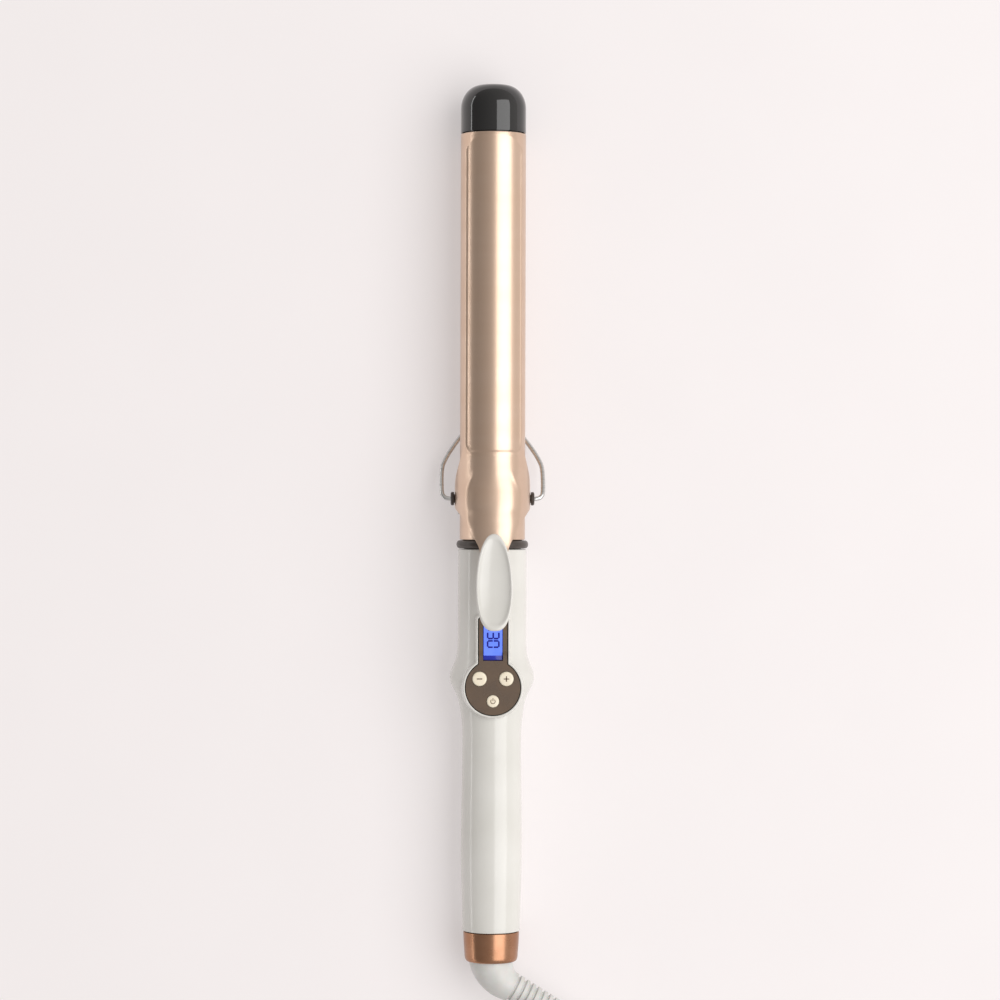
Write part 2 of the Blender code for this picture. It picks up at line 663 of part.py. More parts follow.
def upright(name, x, u, low, high, radius, finish=None, sides=SMALL_SIDES - 1):
    profile = [(0, 0), (0, radius), (high - low, radius), (high - low, 0)]
    return turned(name, profile, finish, P(x, u, high), (0, 0, 1), sides)


def make_shell(name, side):
    """Half of the handle: side is 1 for the front and -1 for the back."""
    start, end = HANDLE_AT, HANDLE_AT + HANDLE_LENGTH - GAP
    outer = [(HANDLE_AT + s, handle_r(s)) for s in handle_stations()]
    inner = [(HANDLE_AT + s, bore_r(s)) for s in handle_stations()]
    shell = turned(name, [(start, 0), (start, NECK_R - 0.5), *outer, (end, 0)], "white plastic")
    if side > 0:
        combine(shell, panel_block("panel_pad", PANEL_RIM, STRIP_LEVEL - 6.75, RIM_PROUD), "UNION")
    cavity = [(start - 1, 0), (start - 1, NECK_BORE), *inner, (end + 1, inner[-1][1]), (end + 1, 0)]
    cut(shell, turned(name + "_cavity", cavity, None))
    if side > 0:
        recess = plate("panel_recess", keyhole(GAP / 2), STRIP_LEVEL - 4.75, 30, flat_at(), None)
        cut(recess, plate("panel_floor", panel_side(0, -PANEL_THICKNESS - GAP), -30, 30, side_view(), None))
        cut(shell, recess)
        under = STRIP_LEVEL - 7.75
        cut(shell, box("window_opening", (-WINDOW_HALF - GAP, WINDOW_START - GAP, under),
                       (WINDOW_HALF + GAP, WINDOW_END + GAP, 20), None))
        for key, (x, u, radius) in BUTTONS.items():
            cut(shell, upright("bore_" + key, x, u, under, 20, radius + GAP))
            cut(shell, upright("pocket_" + key, x, u, under, FLANGE_TOP + GAP, radius + 0.95))
    reach = BULGE_R + 5
    low, high = sorted((side * GAP / 2, -side * reach))
    cut(shell, box(name + "_half", (-reach, start - 2, low), (reach, end + 2, high), None))
    return shell


def make_handle():
    front = make_shell("handle_front_shell", 1)
    rear = make_shell("handle_rear_shell", -1)
    reach = BULGE_R + 5
    cut(rear, box("rest_flat_cut", (-reach, HANDLE_AT, -reach), (reach, END_CAP_AT, -AXIS_Z), None))
    wall = bore_r(SCREW_AT - HANDLE_AT)
    combine(front, upright("front_boss", 0, SCREW_AT, GAP / 2, wall + 0.8, BOSS_R), "UNION")
    cut(front, upright("front_boss_bore", 0, SCREW_AT, -1, wall - 2.6, 1.25))
    combine(rear, upright("rear_boss", 0, SCREW_AT, -wall - 0.8, -GAP / 2, BOSS_R), "UNION")
    cut(rear, upright("rear_screw_bore", 0, SCREW_AT, -20, 1, 1.3))
    cut(rear, upright("rear_screw_pocket", 0, SCREW_AT, -20, 1.6 - wall, 2.4))
    tip, seat = wall - 3.6, 1.3 - wall
    screw = [(0, 0), (0, 0.95), (tip - seat, 0.95), (tip - seat, 2.0), (tip - seat + 1.3, 2.0), (tip - seat + 1.3, 0)]
    turned("handle_screw", screw, "steel", P(0, SCREW_AT, tip), (0, 0, 1), SMALL_SIDES)
    use_manifold_cuts(front)
    use_manifold_cuts(rear)


def make_panel():
    panel = panel_block("control_panel", -GAP / 2, STRIP_LEVEL - 4.75, 0, "taupe plastic")
    cut(panel, plate("panel_underside", panel_side(0, -PANEL_THICKNESS), -30, 30, side_view(), None))
    cut(panel, box("panel_window", (-WINDOW_HALF - GAP / 2, WINDOW_START - GAP / 2, 5),
                   (WINDOW_HALF + GAP / 2, WINDOW_END + GAP / 2, 20), None))
    for key, (x, u, radius) in BUTTONS.items():
        cut(panel, upright("panel_hole_" + key, x, u, 5, 20, radius + GAP / 2))
    box("display_window", (-WINDOW_HALF, WINDOW_START, STRIP_LEVEL - 1.2),
        (WINDOW_HALF, WINDOW_END, STRIP_LEVEL), "blue display")


def make_buttons():
    board_top = BOARD_FLOOR + BOARD_THICKNESS
    for key, (x, u, radius) in BUTTONS.items():
        top = DISC_LEVEL + BUTTON_PROUD
        shoulder, bottom = top - FLANGE_TOP, top - FLANGE_TOP + FLANGE
        cap = [(0, 0), (0, radius - 0.4), (0.4, radius), (shoulder, radius), (shoulder, radius + 0.6),
               (bottom, radius + 0.6), (bottom, 0)]
        turned("button_" + key, cap, "ivory plastic", P(x, u, top), (0, 0, 1), 24)
        nub = FLANGE_TOP - FLANGE - BUTTON_TRAVEL - 0.1
        switch = box("switch_" + key, (x - 2.25, u - 2.25, board_top + GAP), (x + 2.25, u + 2.25, nub - 0.9),
                     "dark plastic")
        combine(switch, upright("nub_" + key, x, u, nub - 1.4, nub, 1.1, None, 12), "UNION")


def make_board():
    wide, narrow, step = BOARD_WIDE, BOARD_NARROW, BOARD_STEP
    outline = [(-wide, BOARD_START), (wide, BOARD_START), (wide, step), (narrow, step + 3), (narrow, BOARD_END),
               (-narrow, BOARD_END), (-narrow, step + 3), (-wide, step)]
    plate("circuit_board", outline, BOARD_FLOOR, BOARD_FLOOR + BOARD_THICKNESS, flat_at(), "circuit green")
    top, under = BOARD_FLOOR + BOARD_THICKNESS + GAP, BOARD_FLOOR - GAP
    module = WINDOW_HALF - GAP / 2
    box("display_module", (-module, WINDOW_START - 1, top), (module, WINDOW_END + 0.5, STRIP_LEVEL - 2.55),
        "dark plastic")
    chip_half, chip_at = 3.4, WINDOW_START + 1
    box("control_chip", (-chip_half, chip_at - chip_half, under - 1.4), (chip_half, chip_at + chip_half, under),
        "dark plastic")
    capacitor_r, capacitor_length = 3.6, 11.0
    profile = [(0, 0), (0, capacitor_r), (capacitor_length, capacitor_r), (capacitor_length, 0)]
    turned("mains_capacitor", profile, "blue wire", P(0, DISC_AT - capacitor_length / 2, under - capacitor_r),
           sides=SMALL_SIDES)
    triac_at, triac_depth = step + 6, 3.4
    box("heater_triac", (-4.5, triac_at, under - triac_depth), (4.5, triac_at + 9, under), "dark plastic")
    box("triac_heat_sink", (-5, triac_at - 1, under - triac_depth - GAP - 1.3),
        (5, triac_at + 12, under - triac_depth - GAP), "aluminium")


def make_wires():
    """Wires inside the wand: heater, sensor and mains leads."""
    heater_end = PIVOT_AT - 12
    under = BOARD_FLOOR - GAP - 0.9
    for name, side, finish in (("heater_wire_live", -1, "red wire"), ("heater_wire_neutral", 1, "blue wire")):
        route = [P(side * 4, heater_end - 2 + GAP, 0), P(side * 4, heater_end + 8, -0.5),
                 P(side * 3.4, COLLAR_AT - 4, -2), P(side * 3.4, HANDLE_AT + 8, -3.2),
                 P(side * 5.4, DISC_AT - 15, -2.2), P(side * 5.4, DISC_AT + 5, -0.6),
                 P(side * 5.4, BOARD_STEP - 1, under - 0.2)]
        wire(name, smooth(route, 2), 0.8, finish)
    sensor_x = BARREL_R - BARREL_WALL - GAP - 2.2
    route = [P(sensor_x, heater_end - 12.6, 0), P(sensor_x - 0.6, heater_end + 2, 0), P(3.0, COLLAR_AT - 6, 2.2),
             P(2.4, HANDLE_AT + 9, 2.4), P(0.5, BOARD_START - GAP - 0.4, 3.2)]
    wire("sensor_wire", smooth(route, 2), 0.55, "ceramic")
    for name, side, finish in (("mains_wire_live", -1, "red wire"), ("mains_wire_neutral", 1, "blue wire")):
        route = [P(side * 4.6, BOARD_END - 5, under), P(side * 5.2, BOARD_END + 1, under - 1.4),
                 P(side * 5.4, SCREW_AT, 0.2), P(side * 4.6, HOLDER_AT - 3, -0.2),
                 P(side * 4.4, HOLDER_AT - GAP - 0.15, 0)]
        wire(name, smooth(route, 2), 0.8, finish)


def make_swivel():
    """End cap, the hub that turns in it and the sliding contacts that carry the current."""
    ledge = END_CAP_AT + 4.0
    opening = BOOT_R + GAP
    spigot = bore_r(HANDLE_LENGTH) - GAP
    hollow = HUB_FLANGE_R + GAP
    start, end = END_CAP_AT - 8, TOTAL
    rounding = [(end - 2.4 * (1 - s), END_CAP_TIP_R - 1.0 * (1 - c)) for c, s in arc(0, 0, 1, 0, 90, 4)]
    cap = [(start, spigot), (END_CAP_AT, spigot), (END_CAP_AT, END_CAP_R), *rounding, (end, opening),
           (ledge + 3.2, opening), (ledge + 3.2, HUB_NECK_R + GAP), (ledge, HUB_NECK_R + GAP), (ledge, hollow),
           (start, hollow)]
    turned("end_cap", cap, "copper metal", ring=True)
    flange_end = ledge - GAP
    hub_start, hub_end = flange_end - 2.4, ledge + 3.2 + GAP
    hub = [(hub_start, 0), (hub_start, HUB_FLANGE_R), (flange_end, HUB_FLANGE_R), (flange_end, HUB_NECK_R),
           (hub_end, HUB_NECK_R), (hub_end, 0)]
    turned("swivel_hub", hub, "grey plastic")
    rings = {"slip_ring_outer": (0.9, 0.7), "slip_ring_inner": (0.49, 0.23)}
    ring_end = hub_start - GAP
    for name, shares in rings.items():
        outer, inner = [HUB_FLANGE_R * share for share in shares]
        profile = [(ring_end - 0.6, outer), (ring_end, outer), (ring_end, inner), (ring_end - 0.6, inner)]
        turned(name, profile, "brass", sides=24, ring=True)
    holder_r = bore_r(HOLDER_AT - HANDLE_AT) - GAP
    holder_end = HOLDER_AT + HOLDER_THICKNESS
    holder = [(HOLDER_AT, 0), (HOLDER_AT, holder_r), (holder_end, holder_r), (holder_end, 0)]
    turned("contact_holder", holder, "dark plastic")
    brush_start, brush_end = holder_end + GAP, ring_end - 0.6 - GAP
    for name, share in (("contact_brush_live", -0.8), ("contact_brush_neutral", 0.36)):
        x = HUB_FLANGE_R * share
        box(name, (x - 0.6, brush_start, -1.2), (x + 0.6, brush_end, 1.2), "brass")
    return hub_end + GAP


# ---------------------------------------------------------------- cord

def make_boot(start):
    """Elbow and tapered strain relief, turned to the right on the swivel."""
    bend_at = TOTAL - BOOT_BEND_BEFORE_END
    points, radii = [P(0, start, 0)], [BOOT_R]
    for k in range(9):
        a = BOOT_TURN * k / 8
        points.append(P(BOOT_BEND * (1 - math.cos(a)), bend_at + BOOT_BEND * math.sin(a), 0))
        radii.append(mix(BOOT_R, BOOT_RIB_R, (k / 8) ** 1.2))
    elbow, heading = points[-1], Vector((math.sin(BOOT_TURN), -math.cos(BOOT_TURN), 0)) * MM
    for k in range(1, 6):
        points.append(elbow + heading * (BOOT_STRAIGHT * k / 5))
        radii.append(mix(BOOT_RIB_R, BOOT_TIP_R, k / 5))
    wire("strain_relief", points, BOOT_R, "grey plastic", [r / BOOT_R for r in radii], 3)
    return points[-1], heading.normalized()


def floor_point(x, u, z):
    """Point over the table, by its height over the table."""
    return Vector((x, TIP_Y - u, z)) * MM


def make_cord(exit_point, heading):
    radius = CORD_D / 2
    right = HANK_X + HANK_INNER_R + TRACK * (HANK_TRACKS - 1)
    lead = [exit_point + heading * GAP * MM, exit_point + heading * 6 * MM, exit_point + heading * 12 * MM,
            floor_point(right - 7.8, TOTAL + 32.7, 9.0), floor_point(right - 3.2, TOTAL + 39.5, 5.2),
            floor_point(right - 0.6, TOTAL + 47.5, 3.3), floor_point(right, HANK_START - GAP - 0.2, radius + 0.1)]
    wire("cord_lead", smooth(lead, 3), radius, "white plastic")
    start = HANK_START
    top = radius + LAYER + radius + 0.1
    outer = HANK_INNER_R + TRACK * (HANK_TRACKS - 1) + radius + 0.1
    inner = outer - TRACK
    fold = [(HANK_X + mix(inner, outer, (1 - math.cos(math.radians(a))) / 2) * math.cos(math.radians(a)),
             start - mix(inner, outer, (1 - math.cos(math.radians(a))) / 2) * math.sin(math.radians(a)))
            for a in range(0, 180, 12)]
    end = start + HANK_RUN
    outline = [(HANK_X + outer, start), *fold, (HANK_X - outer, start + 2)]
    outline += [(x, u) for x, u in arc(HANK_X, end, outer, 180, 0, 15)]
    hank = plate("cord_hank", outline, 0, top, Matrix.Translation((0, TIP_Y * MM, 0)) @ Matrix.Diagonal((1, -1, 1, 1)),
                 "white plastic")
    waist = start + TIE_AT
    make_tie(hank, waist, outer, top)
    make_tail(start, top + GAP + radius)


def make_tie(hank, waist, outer, top):
    """Strap round the hank's waist, let into its underside so that the hank lies flat."""
    low, high = waist - TIE_WIDTH / 2, waist + TIE_WIDTH / 2

    def strap(name, grow, finish, bottom, ceiling, margin=0.0):
        a = floor_point(HANK_X - outer - grow, low - margin, bottom)
        b = floor_point(HANK_X + outer + grow, high + margin, ceiling)
        to_axis = Vector((0, TIP_Y * MM, AXIS_Z * MM))
        corners = [((v - to_axis) / MM) for v in (a, b)]
        return box(name, *[(c.x, -c.y, c.z) for c in corners], finish)

    groove = strap("tie_groove", 1, None, -1, TIE_THICKNESS + GAP, GAP)
    cut(hank, groove)
    tie = strap("cord_tie", GAP + TIE_THICKNESS, "dark plastic", 0, top + GAP + TIE_THICKNESS)
    cut(tie, strap("tie_inside", GAP, None, TIE_THICKNESS, top + GAP, 1))


def make_tail(start, height):
    """Last of the cord, on top of the hank, and its plug."""
    left, right = HANK_X - 21.0, HANK_X + 20.5
    route = [floor_point(left, start + 3, height), floor_point(left + 2.0, start - 8, height),
             floor_point(left + 9.0, start - 17.5, height), floor_point(HANK_X, start - 21.5, height),
             floor_point(right - 9.0, start - 17.5, height), floor_point(right - 2.0, start - 8, height),
             floor_point(right, start + 3, height), floor_point(right, start + 12, height),
             floor_point(right, start + 20, height + 0.6)]
    wire("cord_tail", smooth(route, 3), CORD_D / 2, "white plastic")
    make_plug(right, start + 20.3 + GAP, height + 0.6)


def make_plug(x, u, height):
    z = height - AXIS_Z
    axis = P(x, u, z)
    relief_r = CORD_D / 2 + 0.6
    far = axis + Vector((0, -PLUG_RELIEF * MM, 0))
    wire("plug_strain_relief", [axis, far], relief_r, "white plastic", [0.9, 1], 3)
    low = u + PLUG_RELIEF + GAP
    high, half = low + PLUG_LENGTH, PLUG_HALF_WIDTH
    outline = [(x - 5.5, low), (x + 5.5, low), (x + half, low + 5), (x + half, high), (x - half, high),
               (x - half, low + 5)]
    bottom = z - relief_r
    plate("plug_body", outline, bottom, bottom + PLUG_THICKNESS, flat_at(), "white plastic")
    start, end = high + GAP, high + GAP + BLADE_LENGTH
    for name, side in (("plug_blade_left", -1), ("plug_blade_right", 1)):
        centre = x + side * BLADE_X
        box(name, (centre - 0.75, start, bottom + 1.3), (centre + 0.75, end, bottom + 7.7), "brass")


def main():
    make_barrel()
    make_clip()
    make_lever()
    make_stand(make_pivot())
    make_handle()
    make_panel()
    make_buttons()
    make_board()
    make_wires()
    boot_start = make_swivel()
    make_cord(*make_boot(boot_start))


main()
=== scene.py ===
"""Looks of the curling wand, built round its CAD frame.

The frame is in metres: +X right, +Y towards the wand's tip, +Z up, the table at z = 0.
Sizes here are in millimetres. P() turns them into metres, from x, a station u counted from
the tip towards the cord, and a height z over the wand's axis.
"""
import json
import math

import bmesh
import bpy
from mathutils import Matrix, Vector


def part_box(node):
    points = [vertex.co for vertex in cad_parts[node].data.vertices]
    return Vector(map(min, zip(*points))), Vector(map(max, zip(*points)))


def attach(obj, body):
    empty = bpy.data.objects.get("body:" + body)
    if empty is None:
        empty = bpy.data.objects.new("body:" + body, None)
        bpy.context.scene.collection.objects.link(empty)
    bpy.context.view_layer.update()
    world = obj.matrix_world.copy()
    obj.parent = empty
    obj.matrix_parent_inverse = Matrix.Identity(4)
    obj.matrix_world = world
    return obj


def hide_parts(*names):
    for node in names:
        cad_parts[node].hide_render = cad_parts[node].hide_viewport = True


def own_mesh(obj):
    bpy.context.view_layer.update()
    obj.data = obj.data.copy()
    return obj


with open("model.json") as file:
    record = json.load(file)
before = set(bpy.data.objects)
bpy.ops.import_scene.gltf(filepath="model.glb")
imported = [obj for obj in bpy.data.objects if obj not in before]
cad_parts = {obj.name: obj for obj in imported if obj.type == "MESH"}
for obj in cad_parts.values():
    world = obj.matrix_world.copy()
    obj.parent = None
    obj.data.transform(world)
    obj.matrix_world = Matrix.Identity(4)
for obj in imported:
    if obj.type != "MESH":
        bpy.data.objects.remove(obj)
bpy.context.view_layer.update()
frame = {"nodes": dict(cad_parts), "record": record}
MM = 0.001


def extent(node, axis):
    """Lowest and highest value of a CAD node along an axis, in millimetres."""
    low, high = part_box(node)
    return low[axis] / MM, high[axis] / MM


X, Y, Z = 0, 1, 2
TIP_Y = extent("barrel_tip_cap", Y)[1]
AXIS_Z = sum(extent("barrel_tube", Z)) / 2


def station(node, end):
    """Station of a CAD node's end nearer the tip (1) or the cord (0)."""
    return TIP_Y - extent(node, Y)[end]


# Stations and sizes that the frame gives
TUBE_START = station("barrel_tube", 1)
TUBE_END = station("barrel_tube", 0)
PIVOT_AT = TIP_Y - sum(extent("pivot_band", Y)) / 2
CLIP_START = station("clip_plate", 1)
HANDLE_AT = station("handle_front_shell", 1)
HANDLE_END = station("handle_front_shell", 0)
TOTAL = station("end_cap", 0)
HANDLE_LENGTH = HANDLE_END - HANDLE_AT
BUSH_OUTER = extent("pivot_bush_right", X)[1]

# Sizes of the pieces
SEAM = 0.15                # half of each gap between moulded pieces
BARREL_R = 12.5
SHEET = 0.8
SHEET_R = BARREL_R + 0.3 + SHEET / 2
EAR_X = BARREL_R + 0.3 + 0.5 + 0.35 + SHEET / 2
BUSH_R, BUSH_FLANGE_R, WIRE_R = 1.65, 2.6, 0.9
NECK_R = 13.17
BORE_R = NECK_R - 2.0
BULGE_OUT, BULGE_AT, BULGE_SPREAD = 3.03, 49.0, 6.0
WAIST_R, GRIP_R, TAIL_R = 11.3, 11.75, 11.1
DISC_AT = HANDLE_AT + 52.4
DISC_R = 10.5
STRIP_START = DISC_AT - 26.7
STRIP_HALF = 5.55
STRIP_LEVEL = 12.75
DISC_LEVEL = 13.9
RIM_PROUD = 0.35
CORD_R = 2.8


def P(x, u, z):
    return Vector((x, TIP_Y - u, AXIS_Z + z)) * MM


def table_point(x, u, height):
    return Vector((x, TIP_Y - u, height)) * MM


def mix(a, b, t):
    return a + (b - a) * t


def ease(t):
    t = min(1.0, max(0.0, t))
    return t * t * (3 - 2 * t)


# ---------------------------------------------------------------- camera, light and table

CAMERA_HEIGHT = 1150.0     # over the wand's axis
CAMERA_LEAN = math.radians(1.8)
CAMERA_ROLL = math.radians(0.17)
FRAME_WIDTH = 383.6        # seen across the wand's axis
FRAME_CENTRE = (2.9, 159.0)
SOFTBOX_LENGTH = 1.8       # metres
ROOM_LIGHT = (0.33, 0.85)  # to the left, to the right


def linear(hex_colour):
    """sRGB hex to linear colour."""
    parts = [int(hex_colour[i:i + 2], 16) / 255 for i in (1, 3, 5)]
    return [c / 12.92 if c <= 0.04045 else ((c + 0.055) / 1.055) ** 2.4 for c in parts]


def add_camera():
    data = bpy.data.cameras.new("camera")
    camera = bpy.data.objects.new("camera", data)
    bpy.context.scene.collection.objects.link(camera)
    x, u = FRAME_CENTRE
    camera.location = P(x - CAMERA_HEIGHT * math.sin(CAMERA_LEAN), u, CAMERA_HEIGHT * math.cos(CAMERA_LEAN))
    camera.rotation_euler = (0, -CAMERA_LEAN, CAMERA_ROLL)
    data.sensor_width = 36.0
    data.lens = 36.0 * CAMERA_HEIGHT / FRAME_WIDTH
    data.clip_end = 20
    bpy.context.scene.camera = camera


def add_light(name, angle, distance, width, radiance, lift=0.0):
    """Long softbox beside the wand, at an angle from overhead towards the right, as bright as radiance."""
    data = bpy.data.lights.new(name, "AREA")
    data.shape = "RECTANGLE"
    data.size, data.size_y = SOFTBOX_LENGTH, width
    data.energy = radiance * math.pi * SOFTBOX_LENGTH * width
    light = bpy.data.objects.new(name, data)
    lean = math.radians(angle)
    light.location = (distance * math.sin(lean), 0, distance * math.cos(lean) + AXIS_Z * MM + lift)
    light.rotation_euler = Vector((-math.sin(lean), 0, -math.cos(lean))).to_track_quat("-Z", "Y").to_euler()
    bpy.context.scene.collection.objects.link(light)


def add_studio():
    """A wide softbox to the right, a low strip to the left, and a room that is darker to the left."""
    add_light("right_softbox", 34, 1.3, 1.15, 2.0)
    add_light("left_strip", -86, 0.9, 0.07, 3.0)
    world = bpy.data.worlds.new("studio")
    bpy.context.scene.world = world
    world.use_nodes = True
    tree = world.node_tree
    background = tree.nodes["Background"]
    side = tree.nodes.new("ShaderNodeSeparateXYZ")
    tree.links.new(tree.nodes.new("ShaderNodeTexCoord").outputs["Generated"], side.inputs["Vector"])
    room = tree.nodes.new("ShaderNodeMapRange")
    for key, value in {"From Min": -0.9, "From Max": 0.9, "To Min": ROOM_LIGHT[0],
                       "To Max": ROOM_LIGHT[1]}.items():
        room.inputs[key].default_value = value
    tree.links.new(side.outputs["X"], room.inputs["Value"])
    tree.links.new(room.outputs["Result"], background.inputs["Strength"])
    background.inputs["Color"].default_value = (*linear("#F6F1EE"), 1)
    bpy.context.scene.view_settings.view_transform = "Standard"


# ---------------------------------------------------------------- materials

def add(tree, kind, links=None, **settings):
    """Adds a node. Settings are its properties or its input values; links are input: output socket."""
    node = tree.nodes.new(kind)
    for key, value in settings.items():
        if hasattr(node, key):
            setattr(node, key, value)
        else:
            node.inputs[key.replace("_", " ")].default_value = value
    for key, socket in (links or {}).items():
        tree.links.new(socket, node.inputs[key])
    return node


def make_finish(name, colour, other, rough, grain, speck=0.6, metallic=0.0, ior=None, bump=0.004,
                stretch=(1, 1, 1),
                coat=0.0, sheen=0.0, glow=0.0, weave=0.0, subsurface=0.0):
    """Surface whose colour drifts to other over grain mm, with specks of speck mm that stand bump mm proud."""
    made = bpy.data.materials.new(name)
    made.use_nodes = True
    tree = made.node_tree
    shader = tree.nodes["Principled BSDF"]
    place = add(tree, "ShaderNodeTexCoord").outputs["Object"]
    spot = add(tree, "ShaderNodeMapping", {"Vector": place}, Scale=stretch).outputs["Vector"]
    drift = add(tree, "ShaderNodeTexNoise", {"Vector": spot}, Scale=1 / (grain * MM), Detail=3.0)
    tint = add(tree, "ShaderNodeMix", data_type="RGBA")
    tint.inputs["A"].default_value = (*linear(colour), 1)
    tint.inputs["B"].default_value = (*linear(other), 1)
    soft = add(tree, "ShaderNodeMapRange", {"Value": drift.outputs["Fac"]}, From_Min=0.35, From_Max=0.65)
    tree.links.new(soft.outputs["Result"], tint.inputs["Factor"])
    tree.links.new(tint.outputs["Result"], shader.inputs["Base Color"])
    gloss = add(tree, "ShaderNodeMapRange", {"Value": drift.outputs["Fac"]}, From_Min=0.3, From_Max=0.7,
                To_Min=rough[0], To_Max=rough[1])
    tree.links.new(gloss.outputs["Result"], shader.inputs["Roughness"])
    fine = add(tree, "ShaderNodeTexNoise", {"Vector": spot}, Scale=1 / (speck * MM), Detail=2.0)
    height = fine.outputs["Fac"]
    if weave:
        threads = add(tree, "ShaderNodeTexWave", {"Vector": place}, Scale=1 / (weave * MM * 2 * math.pi),
                      Distortion=0.6, bands_direction="DIAGONAL")
        height = threads.outputs["Fac"]
    relief = add(tree, "ShaderNodeBump", {"Height": height}, Distance=bump * MM, Strength=1.0)
    tree.links.new(relief.outputs["Normal"], shader.inputs["Normal"])
    shader.inputs["Metallic"].default_value = metallic
    if ior:
        shader.inputs["IOR"].default_value = ior
    shader.inputs["Coat Weight"].default_value = coat
    shader.inputs["Coat Roughness"].default_value = 0.06
    shader.inputs["Sheen Weight"].default_value = sheen
    shader.inputs["Subsurface Weight"].default_value = subsurface
    shader.inputs["Subsurface Scale"].default_value = 0.4 * MM
    if glow:
        shader.inputs["Emission Color"].default_value = (*linear(colour), 1)
        shader.inputs["Emission Strength"].default_value = glow
    return made


